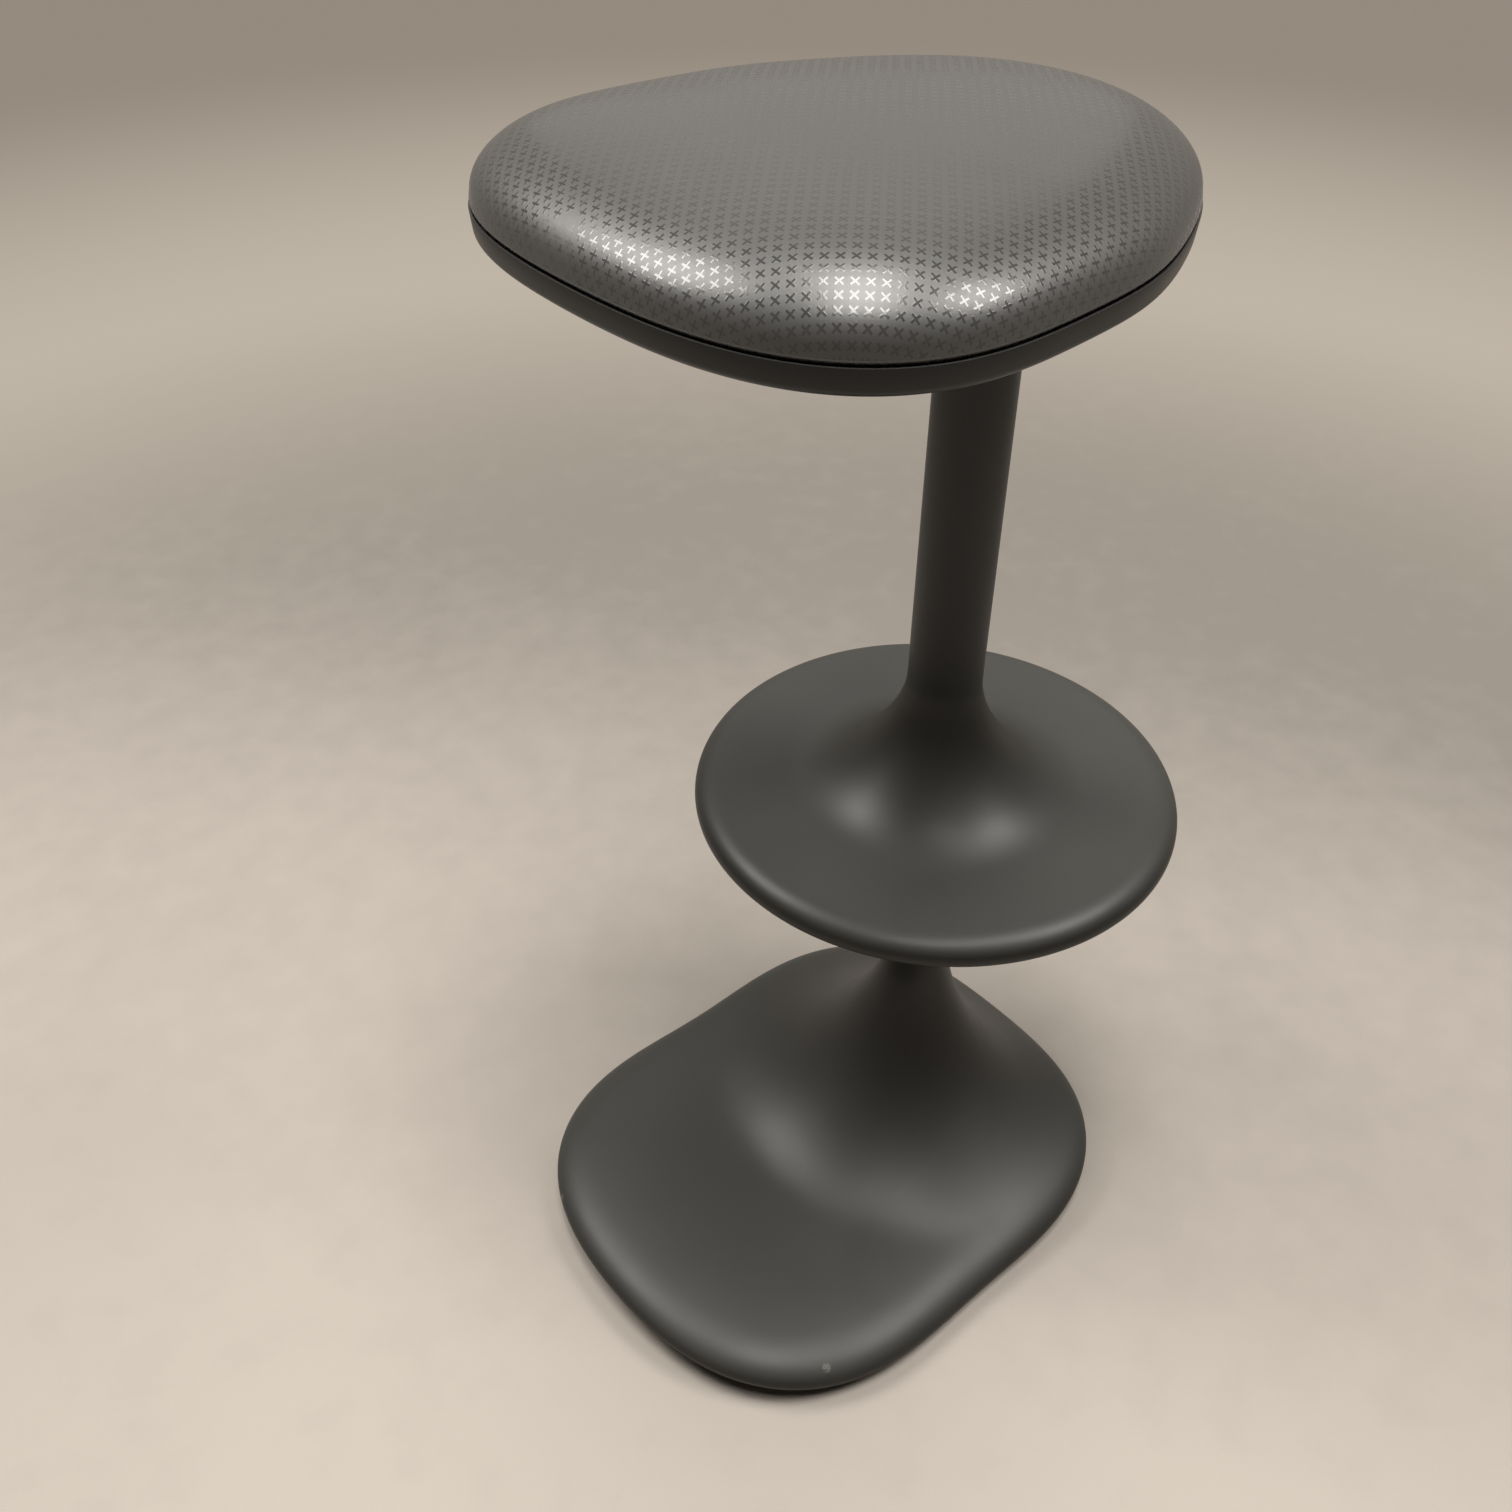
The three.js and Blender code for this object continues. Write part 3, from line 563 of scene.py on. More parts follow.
class Paint(Nodes):
    """A material under construction, with its main shader."""

    def __init__(self, name: str) -> None:
        """Makes the material and names the place on the piece that its patterns read."""
        self.material = bpy.data.materials.new(name)
        self.material.use_nodes = True
        super().__init__(self.material.node_tree)
        self.shader = self.add("ShaderNodeBsdfPrincipled")
        self.output = self.add("ShaderNodeOutputMaterial", {"Surface": self.shader.outputs[0]})
        self.place = self.add("ShaderNodeTexCoord").outputs["Object"]

    def noise(self, pitch: float, detail: float = 2.0, stretch: Point = (1, 1, 1)) -> Value:
        """Adds noise of about 0 to 1.

        Args:
            pitch: The size of its patches.
            detail: How many finer layers it has.
            stretch: How much denser it is along each axis.

        Returns:
            The noise.
        """
        scaled = self.add("ShaderNodeMapping", {"Vector": self.place, "Scale": stretch})
        inputs = {"Vector": scaled.outputs[0], "Scale": 1 / pitch, "Detail": detail}
        return self.value("ShaderNodeTexNoise", inputs)

    def spots(self, pitch: float) -> Value:
        """Gives the distance to the nearest of scattered points, as a share of their pitch."""
        return self.value("ShaderNodeTexVoronoi", {"Vector": self.place, "Scale": 1 / pitch}, "Distance")

    def axis(self, vector: bpy.types.NodeSocket, number: int) -> Value:
        """Gives one axis of a vector."""
        return self.value("ShaderNodeSeparateXYZ", {0: vector}, number)

    def upward(self, start: float = 0.3) -> Value:
        """Gives 1 on level faces that face up, and 0 where the normal's rise is under the start."""
        return self.axis(self.add("ShaderNodeNewGeometry").outputs["Normal"], 2).step(start, 1.0)

    def near(self, point: Point, radius: float) -> Value:
        """Gives 1 at a point and 0 from the radius outwards."""
        inputs = {0: self.place, 1: point}
        return self.value("ShaderNodeVectorMath", inputs, "Value", operation="DISTANCE").step(radius, 0.0)

    def bump(self, height: Value, depth: float) -> None:
        """Gives the main shader a bump, where a height of 1 measures the depth."""
        node = self.add("ShaderNodeBump", {"Height": height, "Distance": depth, "Strength": 1.0})
        self.feed(self.shader.inputs["Normal"], node.outputs[0])

    def glow(self, share: Value, colour: bpy.types.NodeSocket) -> None:
        """Lays a share of a glow at a strength of 1 over the main shader."""
        mixed = self.blend(share, self.shader, self.add("ShaderNodeEmission", {"Color": colour}))
        self.feed(self.output.inputs["Surface"], mixed)

    def dress(self, colour: Any, roughness: Any, metallic: Any = 0.0, **more: float) -> bpy.types.Material:
        """Feeds the main shader.

        Args:
            colour: The base colour.
            roughness: The roughness.
            metallic: The metallic share.
            more: Other sockets that are the same all over, with _ for the spaces in their names.

        Returns:
            The finished material.
        """
        sockets = {"Base_Color": colour, "Roughness": roughness, "Metallic": metallic, **more}
        for name, value in sockets.items():
            self.feed(self.shader.inputs[name.replace("_", " ")], value)
        return self.material


# Finishes


def scaled_colour(colour: Colour, share: float) -> Colour:
    """Gives a colour at a share of its brightness."""
    return tuple(part * share for part in colour)


@dataclass(frozen=True)
class Chip:
    """A small pale scuff with a ragged edge."""

    place: Point
    radius: float
    raggedness: float = 0.0012

    def mark(self, paint: Paint) -> Value:
        """Gives 1 on the scuff and 0 off it."""
        ragged = paint.noise(self.raggedness, 4.0).step(0.42, 0.56)
        return paint.near(self.place, self.radius).step(0.05, 0.5) * ragged


@dataclass(frozen=True)
class MouldedPlastic:
    """Matte moulded plastic with a fine grain, slow mottling, a little wear, and painted top light that makes
    faces that face up paler.

    Attributes:
        name: The material's name.
        colour: Its colour on upright faces.
        roughness: Its middle roughness.
        grain_pitch: The size of its grain.
        grain_depth: The height of its grain.
        paleness: How many times paler it is painted where it faces up, as painted top light.
        chips: Its small scuffs.
        painted_top_light_share: The share of the painted top light on level faces.
        painted_upright_light_share: The share of the painted top light that upright faces have too.
        mottling: How far the painted top light swings from place to place.
        mottle_pitch: The size of those places.
        hand_pitch: The size of the rubbed patches that its roughness shows.
        speck_pitch: The distance between pale specks.
        speck_field: The size of the fields that have specks.
        wear_colour: The colour of specks and chips.
    """

    name: str
    colour: Colour
    roughness: float = 0.43
    grain_pitch: float = 0.0009
    grain_depth: float = 0.00004
    paleness: float = 4.5
    chips: tuple[Chip, ...] = ()
    painted_top_light_share: float = 0.88
    painted_upright_light_share: float = 0.02
    mottling: float = 0.24
    mottle_pitch: float = 0.09
    hand_pitch: float = 0.025
    speck_pitch: float = 0.004
    speck_field: float = 0.05
    wear_colour: Colour = (0.16, 0.155, 0.145)

    def make(self) -> bpy.types.Material:
        """Makes the material."""
        paint = Paint(self.name)
        grain = paint.noise(self.grain_pitch, 3.0)
        slow = paint.noise(self.mottle_pitch, 4.0)
        hands = paint.noise(self.hand_pitch, 3.0)
        # Painted top light: faces that face up are painted up to paleness times paler than upright faces,
        # standing in for the light that falls on them from above.
        shade = paint.upward() * self.painted_top_light_share + self.painted_upright_light_share
        shade = shade + (slow - 0.5) * self.mottling + (grain - 0.5) * 0.2
        colour = paint.mix(shade, self.colour, scaled_colour(self.colour, self.paleness))
        field = paint.noise(self.speck_field).step(0.55, 0.7)
        wear = paint.spots(self.speck_pitch).step(0.09, 0.04) * field * 0.25
        for chip in self.chips:
            wear = wear.most(chip.mark(paint))
        colour = paint.mix(wear, colour, self.wear_colour)
        roughness = self.roughness + (slow - 0.5) * 0.12 + (hands - 0.5) * 0.08
        paint.bump(grain * 0.8 + hands * 0.2, self.grain_depth)
        return paint.dress(colour, roughness, IOR=1.46)


@dataclass(frozen=True)
class PrintedCover:
    """Satin cover with a staggered print of small glossy crosses that follow the cloth.

    Attributes:
        ground: The colour between the crosses.
        ground_swing: How far the ground's brightness swings.
        print_colour: The colour of the crosses.
        print_gloss: How much less rough they are.
        pitch: From one cross to the next along a diagonal of the seat.
        arm: Half the length of a cross.
        half_width: Half the width of its arms.
        edge: How soft the edges of the arms are.
        grain_pitch: The size of the cloth's grain.
        grain_depth: The height of grain and print.
        mottle_pitch: The size of its slow mottling.
        rub_pitch: The size of its rubbed patches.
        dust_pitch: The distance between grains of dust.
        dust_field: The size of the fields that have dust.
        worn: Where the print is rubbed thin, and how far round.
        worn_pitch: The size of the islands that the rubbing leaves.
        scuffs: Its small scuffs.
        scuff_colour: The colour of scuffs and dust.
    """

    ground: Colour = (0.046, 0.0468, 0.0458)
    ground_swing: float = 0.3
    print_colour: Colour = (0.033, 0.0335, 0.0331)
    print_gloss: float = 0.23
    pitch: float = 0.0061
    arm: float = 0.0025
    half_width: float = 0.00052
    edge: float = 0.00012
    grain_pitch: float = 0.0007
    grain_depth: float = 0.00005
    mottle_pitch: float = 0.07
    rub_pitch: float = 0.03
    dust_pitch: float = 0.011
    dust_field: float = 0.02
    worn: Chip = Chip((-0.163, 0.014, 0.778), 0.036)
    worn_pitch: float = 0.012
    scuffs: tuple[Chip, ...] = (
        Chip((-0.122, 0.109, 0.788), 0.0040),
        Chip((-0.167, 0.041, 0.773), 0.0030),
        Chip((-0.161, -0.014, 0.781), 0.0060),
    )
    scuff_colour: Colour = (0.3, 0.3, 0.29)

    def _crosses(self, paint: Paint, cloth: bpy.types.NodeSocket) -> Value:
        """Draws the crosses.

        The cloth is turned by an eighth so that the rows run along the seat's diagonals, each cell
        is folded to its middle, and turned back there, so that the arms lie along the seat.

        Args:
            paint: The material.
            cloth: The place on the cloth in metres.

        Returns:
            1 on a cross and 0 off it.
        """
        u, v = paint.axis(cloth, 0), paint.axis(cloth, 1)
        diagonal = math.sqrt(2)
        a = (((u + v) / (self.pitch * diagonal)).fraction() - 0.5) * self.pitch
        b = (((u - v) / (self.pitch * diagonal)).fraction() - 0.5) * self.pitch
        across = ((a + b) / diagonal).size()
        along = ((a - b) / diagonal).size()
        side = (self.half_width + self.edge, self.half_width - self.edge)
        tip = (self.arm + self.edge, self.arm - self.edge)
        first = across.step(*side) * along.step(*tip)
        second = along.step(*side) * across.step(*tip)
        return first.most(second)

    def make(self) -> bpy.types.Material:
        """Makes the material."""
        paint = Paint("printed_cover")
        cloth = paint.add("ShaderNodeUVMap", uv_map="cloth").outputs[0]
        islands = paint.noise(self.worn_pitch, 3.0).step(0.35, 0.6)
        thin = paint.near(self.worn.place, self.worn.radius) * islands
        cross = self._crosses(paint, cloth) * (1.0 - thin.step(0.1, 0.6) * 0.6)
        fine = paint.noise(self.grain_pitch, 3.0)
        slow = paint.noise(self.mottle_pitch, 4.0)
        rubbed = paint.noise(self.rub_pitch, 5.0).step(0.5, 0.75)
        shade = (slow - 0.5) * 0.5 + (fine - 0.5) * 0.3 + 0.5
        dark = scaled_colour(self.ground, 1 - self.ground_swing)
        pale = scaled_colour(self.ground, 1 + self.ground_swing)
        colour = paint.mix(cross * 0.9, paint.mix(shade, dark, pale), self.print_colour)
        field = paint.noise(self.dust_field).step(0.5, 0.6)
        scuff = paint.spots(self.dust_pitch).step(0.045, 0.02) * field * 0.5
        for mark in self.scuffs:
            scuff = scuff.most(mark.mark(paint) * 0.6)
        colour = paint.mix(scuff, colour, self.scuff_colour)
        roughness = 0.39 + (slow - 0.5) * 0.08 + (fine - 0.5) * 0.06 + rubbed * 0.03
        roughness = roughness - cross * self.print_gloss
        paint.bump(fine * 0.35 + cross * 0.5, self.grain_depth)
        return paint.dress(colour, roughness, IOR=1.75, Sheen_Weight=0.05, Sheen_Roughness=0.4)


@dataclass(frozen=True)
class OpenFoam:
    """Pale open foam, with painted shade that darkens the hollows of its cells."""

    colour: Colour = (0.62, 0.53, 0.35)
    cell_shade_colour: Colour = (0.35, 0.28, 0.16)
    cell_pitch: float = 0.0016
    cell_depth: float = 0.0006
    mottle_pitch: float = 0.06

    def make(self) -> bpy.types.Material:
        """Makes the material."""
        paint = Paint("pale_foam")
        cells = paint.spots(self.cell_pitch)
        # Painted shade: the hollows of the cells are painted darker, in cell_shade_colour.
        shade = cells.step(0.5, 0.1) * 0.4 + paint.noise(self.mottle_pitch, 3.0) * 0.2
        paint.bump(cells, self.cell_depth)
        return paint.dress(paint.mix(shade, self.colour, self.cell_shade_colour), 0.95)


@dataclass(frozen=True)
class Plywood:
    """Bare plywood: long grain on its faces and plies on its edge."""

    pale: Colour = (0.52, 0.33, 0.16)
    dark: Colour = (0.30, 0.17, 0.075)
    ply: float = 0.0014
    grain_pitch: float = 0.012
    grain_depth: float = 0.0001

    def make(self) -> bpy.types.Material:
        """Makes the material."""
        paint = Paint("plywood")
        grain = paint.noise(self.grain_pitch, 6.0, stretch=(0.12, 1.0, 1.0))
        wave = (paint.axis(paint.place, 2) * (FULL_TURN / self.ply)).wave()
        lines = (wave * 0.5 + 0.5).step(0.3, 0.7)
        paint.bump(grain * 0.7 + lines * 0.3, self.grain_depth)
        colour = paint.mix(grain * 0.75 + lines * 0.25, self.pale, self.dark)
        return paint.dress(colour, 0.6 + (grain - 0.5) * 0.2)


@dataclass(frozen=True)
class Metal:
    """Steel or zinc with fine scratches and dull patches.

    Attributes:
        name: The material's name.
        colour: Its colour.
        roughness: Its middle roughness.
        dullness: How strongly dull patches show.
    """

    name: str
    colour: Colour
    roughness: float = 0.32
    dullness: float = 0.3
    scratch_pitch: float = 0.0008
    scratch_depth: float = 0.00002
    patch_pitch: float = 0.012

    def make(self) -> bpy.types.Material:
        """Makes the material."""
        paint = Paint(self.name)
        scratches = paint.noise(self.scratch_pitch, 4.0, stretch=(0.06, 1.0, 1.0))
        patches = paint.noise(self.patch_pitch, 4.0).step(0.4, 0.7)
        colour = paint.mix(patches * self.dullness, self.colour, scaled_colour(self.colour, 0.55))
        paint.bump(scratches, self.scratch_depth)
        return paint.dress(colour, self.roughness + patches * 0.15 + (scratches - 0.5) * 0.15, 1.0)


@dataclass(frozen=True)
class CastIron:
    """Rough cast iron with a sandy skin and a trace of rust."""

    colour: Colour = (0.045, 0.044, 0.043)
    rust_colour: Colour = (0.12, 0.05, 0.022)
    sand_pitch: float = 0.0022
    sand_depth: float = 0.0004
    rust_pitch: float = 0.03

    def make(self) -> bpy.types.Material:
        """Makes the material."""
        paint = Paint("cast_iron")
        sand = paint.noise(self.sand_pitch, 5.0)
        rust = paint.noise(self.rust_pitch, 5.0).step(0.56, 0.72) * sand.step(0.4, 0.6)
        paint.bump(sand, self.sand_depth)
        return paint.dress(paint.mix(rust * 0.6, self.colour, self.rust_colour), rust * 0.2 + 0.7, 0.5)


@dataclass(frozen=True)
class BlackRubber:
    """Matte black rubber with a faint grey bloom."""

    colour: Colour = (0.011, 0.011, 0.011)
    bloom_colour: Colour = (0.05, 0.05, 0.048)
    grain_pitch: float = 0.0012
    grain_depth: float = 0.00008
    bloom_pitch: float = 0.02

    def make(self) -> bpy.types.Material:
        """Makes the material."""
        paint = Paint("black_rubber")
        fine = paint.noise(self.grain_pitch, 4.0)
        paleness = paint.noise(self.bloom_pitch, 4.0).step(0.45, 0.75)
        paint.bump(fine, self.grain_depth)
        colour = paint.mix(paleness * 0.35, self.colour, self.bloom_colour)
        return paint.dress(colour, (fine - 0.5) * 0.2 + 0.78)


BASE_CHIPS = (
    Chip((-0.1270, -0.1450, 0.0270), 0.0048),
    Chip((-0.1890, 0.0865, 0.0260), 0.0036),
)
RECIPES = {
    # Both plastics are painted paler where they face up, as painted top light; the charcoal by a paleness of
    # 11.5.
    Slot.CHARCOAL: MouldedPlastic("charcoal_plastic", (0.0048, 0.0049, 0.0046), paleness=11.5, chips=BASE_CHIPS),
    Slot.BLACK: MouldedPlastic("black_plastic", (0.008, 0.008, 0.0078), 0.38, 0.0012, 0.00002),
    Slot.COVER: PrintedCover(),
    Slot.FOAM: OpenFoam(),
    Slot.PLYWOOD: Plywood(),
    Slot.STEEL: Metal("plain_steel", (0.36, 0.37, 0.38)),
    Slot.FASTENER: Metal("zinc_plate", (0.55, 0.56, 0.57), 0.28, 0.15),
    Slot.IRON: CastIron(),
    Slot.RUBBER: BlackRubber(),
}


class Finishes:
    """Every finish of the stool, made once and handed out by slot."""

    def __init__(self) -> None:
        """Makes each material."""
        self.made = {slot: recipe.make() for slot, recipe in RECIPES.items()}

    def dress(self, piece: bpy.types.Object, slot: Slot) -> None:
        """Gives a new piece its finish.

        Args:
            piece: The piece.
            slot: Its slot.
        """
        piece.data.materials.clear()
        piece.data.materials.append(self.made[slot])

    def settle(self, piece: bpy.types.Object, slot: Slot, body: Body, node: str) -> bpy.types.Object:
        """Dresses a finished piece and lets it ride on its body in place of a CAD node.

        Args:
            piece: The piece.
            slot: Its slot.
            body: The body that it moves with.
            node: The CAD node that it stands for.

        Returns:
            The piece.
        """
        self.dress(piece, slot)
        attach(piece, body.value)
        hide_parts(node)
        log.info("%s: %d faces, stands for %s", piece.name, len(piece.data.polygons), node)
        return piece

    def dress_cad(self, record: dict[str, Any]) -> None:
        """Gives every CAD node the finish of its slot.

        Args:
            record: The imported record.
        """
        for subpart in record["subparts"]:
            node = frame["nodes"][subpart["node"]]
            if not node.data.materials:
                node.data.materials.append(None)
            for place in node.material_slots:
                place.material = self.made[Slot(subpart["material_slot"])]


# Fasteners


@dataclass(frozen=True)
class SocketScrew:
    """A screw with a chamfered round head and a six-sided socket, its head below its shank.

    Attributes:
        shank: The radius of its shank.
        head: The radius of its head.
        head_height: The height of its head.
        socket_share: The socket's in-radius as a share of the head's radius.
        ease_share: The chamfer of its edges, as such a share.
        facets: The steps round it.
    """

    shank: float
    head: float
    head_height: float
    socket_share: float = 0.46
    ease_share: float = 0.12
    facets: int = 36

    def make(self, node: str) -> bpy.types.Object:
        """Builds the screw where a CAD screw stands, as rings of r(a) from the socket outwards.

        A six-sided ring has r(a) = in-radius / cos((a mod 60 degrees) - 30 degrees).

        Args:
            node: The CAD screw that it stands for.

        Returns:
            The object.
        """
        low, high = corners(node)
        middle = axis_of(node)
        turn = around(self.facets)
        sixth = FULL_TURN / 6
        hexagon = self.head * self.socket_share / np.cos(turn % sixth - sixth / 2)
        circle = np.ones(self.facets)
        face, tip = low[2], high[2]
        socket = face + self.head_height * 0.6
        seat = face + self.head_height
        ease = self.head * self.ease_share
        sections = [
            (hexagon * 0.5, socket),
            (hexagon, socket),
            (hexagon, face + ease),
            (hexagon + ease, face),
            (circle * self.head * 0.84, face),
            (circle * (self.head - ease / 3), face + self.head_height * 0.3),
            (circle * self.head, face + self.head_height * 0.45),
            (circle * self.head, seat),
            (circle * self.shank, seat),
            (circle * self.shank, tip - self.shank / 2),
            (circle * self.shank / 2, tip),
        ]
        radius = np.array([section[0] for section in sections])
        height = np.array([section[1:] for section in sections])
        rings = raised(middle + radius[..., None] * ray(turn), height)
        return loft(f"socket_{node}", rings, [(*middle, socket), (*middle, tip)])

    def hole(self, node: str, top: float) -> bpy.types.Object:
        """Builds the cutter of its hole: room for the head, and round the shank up to the top.

        Args:
            node: The CAD screw.
            top: The height that the hole reaches.

        Returns:
            The closed cutter.
        """
        low, _ = corners(node)
        start = low[2] - 2 * OVERRUN
        seat = low[2] + self.head_height + SEAT_GAP
        end = top + OVERRUN
        wide, narrow = self.head + HOLE_GAP, self.shank + HOLE_GAP
        profile = np.array([(wide, start), (wide, seat), (narrow, seat), (narrow, end)])
        return turned(f"hole_{node}", profile, axis_of(node), self.facets, (start, end))

    def fit(self, stem: str, count: int, finishes: Finishes) -> None:
        """Puts such a screw in place of each CAD screw of a set."""
        for node in numbered(stem, count):
            finishes.settle(self.make(node), Slot.FASTENER, Body.STOOL, node)


M4 = SocketScrew(0.002, 0.004, 0.0024)
M5 = SocketScrew(0.0025, 0.0048, 0.0026)


# Sub-assemblies


@dataclass
class RubberMount:
    """The round rubber mount that the stool tips on, and the sole that stands on the floor.

    Attributes:
        tread_radii: The middles of the grooves in the sole.
        tread_width: The width of a groove.
        tread_depth: The depth of a groove.
        core: The radius at the middle of the sole where its rings start.
        edge: The rounding of the sole's edges.
        bore: The radius of the bore of a rubber ring.
        bulge: How far such a ring swells at half its height.
    """

    finishes: Finishes
    tread_radii: tuple[float, ...] = (0.012, 0.022, 0.032, 0.042)
    tread_width: float = 0.0028
    tread_depth: float = 0.0009
    core: float = 0.004
    edge: float = 0.0007
    bore: float = 0.011
    bulge: float = 0.0012

    def sole(self) -> bpy.types.Object:
        """Builds the sole as a turned profile with round grooves in its underside.

        Returns:
            The object.
        """
        _, high = corners("floor_sole")
        radius, top = high[0], high[2]
        half = self.tread_width / 2
        line = [(self.core, 0.0)]
        for middle in self.tread_radii:
            line += [(middle - half, 0.0), (middle - half / 2, self.tread_depth)]
            line += [(middle + half / 2, self.tread_depth), (middle + half, 0.0)]
        line += [(radius, 0.0), (radius, top), (self.core, top)]
        piece = turned("sole_pad", eased(line, self.edge), poles=(0.0, top))
        return self.finishes.settle(piece, Slot.RUBBER, Body.FOOT, "floor_sole")

    def ring(self, name: str, node: str, lower: Body, upper: Body) -> bpy.types.Object:
        """Builds a rubber ring between the plates above and below it.

        Its sides swell by bulge * (1 - (2s - 1)^2), where s runs from 0 below to 1 above.

        Args:
            name: The piece's name.
            node: The CAD ring that it stands for.
            lower: The body under it.
            upper: The body over it.

        Returns:
            The object.
        """
        low, high = corners(node)
        share = np.linspace(0.0, 1.0, 9)
        height = low[2] + share * (high[2] - low[2])
        swell = self.bulge * (1 - (2 * share - 1) ** 2) - self.bulge / 2
        outside = np.stack([high[0] + swell, height], axis=1)
        inside = np.stack([self.bore - swell, height], axis=1)[::-1]
        piece = turned(name, np.concatenate([outside, inside]))
        self.finishes.dress(piece, Slot.RUBBER)
        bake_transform(piece)
        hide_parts(node)
        log.info("%s: bends between %s and %s", name, lower.value, upper.value)
        return piece

    def build(self) -> None:
        """Builds the sole and both rings."""
        self.sole()
        self.ring("lower_rubber_ring", "lower_rubber", Body.FOOT, Body.INTERLEAF)
        self.ring("upper_rubber_ring", "upper_rubber", Body.INTERLEAF, Body.STOOL)


@dataclass
class Base:
    """The moulded shell of the base and the plate that closes it from below.

    Attributes:
        harmonic_shares: The swings of its outline.
        sole_drop: How far the sole stands under the hard underside.
        end_lift: The rise of the underside to the front and rear ends.
        side_lift: The rise of the underside to the sides.
        under_height: From the underside up to the widest line of the rim.
        under_width: How far the underside's edge is drawn in.
        crown_height: From the widest line up to the top of the plate.
        crown_width: How far in the plate reaches its full height.
        crown_power: How square the crown is.
        edge_width: How far in the narrower rounding of the edge ends.
        edge_share: Its share of the crown's height.
        solid_width: How far in the shell is solid.
        wall: The wall of the shell.
        rear_reach: How far the foot of the column spreads to the rear.
        front_reach: How far it spreads to the front.
        reach_power: How soon the reach grows away from straight ahead.
        neck_share: The share of the flare's height at which the plate's own rings start.
        mount_room: The radius of the opening round the mount.
        plate_thickness: The thickness of the plate below.
        flare: The foot of the column.
        facets: The steps round the outline.
    """

    finishes: Finishes
    harmonic_shares: tuple[float, ...] = (0.057, -0.004, -0.055, -0.005)
    sole_drop: float = 0.006
    end_lift: float = 0.0155
    side_lift: float = 0.0025
    under_height: float = 0.0025
    under_width: float = 0.010
    crown_height: float = 0.0240
    crown_width: float = 0.086
    crown_power: float = 2.1
    edge_width: float = 0.032
    edge_share: float = 0.2
    solid_width: float = 0.014
    wall: float = 0.004
    rear_reach: float = 0.136
    front_reach: float = 0.092
    reach_power: float = 3.0
    neck_share: float = 0.34
    mount_room: float = 0.061
    plate_thickness: float = 0.005
    flare: Flare = Flare(0.148)
    facets: int = 256

    def __post_init__(self) -> None:
        """Reads the sizes that the frame gives."""
        low, high = corners("base_shell")
        self.size = (high - low)[:2]
        self.neck_top = high[2]
        self.outline = Outline(*self.size, self.harmonic_shares)
        self.middle = axis_of("core_tube")
        self.turn = around(self.facets)

    def underside(self, flat: Array) -> Array:
        """Gives the underside's height: drop + lift (x / half length)^2 + lift (y / half width)^2."""
        squares = (flat / (self.size / 2)) ** 2
        return self.sole_drop + self.end_lift * squares[..., 0] + self.side_lift * squares[..., 1]

    def reach(self, flat: Array) -> Array:
        """Gives the foot's reach: the rear reach, less a share ((1 + cos a) / 2)^power of the difference.

        Args:
            flat: Points [..., 2], seen from the column at an angle a from straight ahead.

        Returns:
            The reach at each point.
        """
        x, y = np.moveaxis(flat - self.middle, -1, 0)
        ahead = (1 + np.cos(np.arctan2(y, x))) / 2
        return self.rear_reach - (self.rear_reach - self.front_reach) * ahead**self.reach_power

    def top(self, flat: Array, depth: Array | float, sunk: float = 0.0) -> Array:
        """Gives the height of the top: underside + rim + crown + foot of the column.

        The crown is a wide superellipse plus a narrower ellipse, which rounds the edge.

        Args:
            flat: Points [..., 2] of the base.
            depth: How far in from the rim they lie.
            sunk: How far the surface is drawn in and down, for the inside of the shell.

        Returns:
            The heights.
        """
        pillow = (1 - self.edge_share) * superellipse(depth / self.crown_width, self.crown_power)
        crown = pillow + self.edge_share * superellipse(depth / self.edge_width, 2.0)
        radius = np.linalg.norm(flat - self.middle, axis=-1) + sunk
        foot = self.flare.rise(radius, self.reach(flat))
        return self.underside(flat) + self.under_height + self.crown_height * crown + foot - sunk

    def neck(self, height_share: Array, sunk: float = 0.0) -> Array:
        """Gives rings round the neck: radius by the flare, height by the plate under it.

        Args:
            height_share: Shares [ring] of the flare's height.
            sunk: How far the rings are drawn in and down.

        Returns:
            The rings [ring, point, 3].
        """
        way = ray(self.turn)
        radius = self.flare.radius(height_share[:, None], self.reach(self.middle + way)) - sunk
        flat = self.middle + radius[..., None] * way
        plate = self.underside(flat) + self.under_height + self.crown_height
        return raised(flat, plate + self.flare.height * height_share[:, None] - sunk)

    def plate(self, shares: Array, sunk: float = 0.0) -> Array:
        """Gives rings of the plate, spread between the foot of the neck and the crown's inner line.

        Args:
            shares: The places of the rings, from 0 at the neck to 1 at the crown.
            sunk: How far they are drawn in and down.

        Returns:
            The rings.
        """
        foot = self.neck(np.array([self.neck_share]), sunk)[0, :, :2]
        edge = self.outline.drawn_in(self.turn, self.crown_width)
        flat = foot + (edge - foot) * shares[:, None, None]
        return raised(flat, self.top(flat, self.crown_width, sunk))

    def crown(self, depth: Array, sunk: float = 0.0) -> Array:
        """Gives rings of the top along the outline, at each depth from the rim."""
        flat = self.outline.rings(self.turn, depth)
        return raised(flat, self.top(flat, depth[:, None], sunk))

    def below(self, depth: Array, rise: Array | float = 0.0) -> Array:
        """Gives rings of the underside along the outline, raised by what is given."""
        flat = self.outline.rings(self.turn, depth)
        return raised(flat, self.underside(flat) + rise)

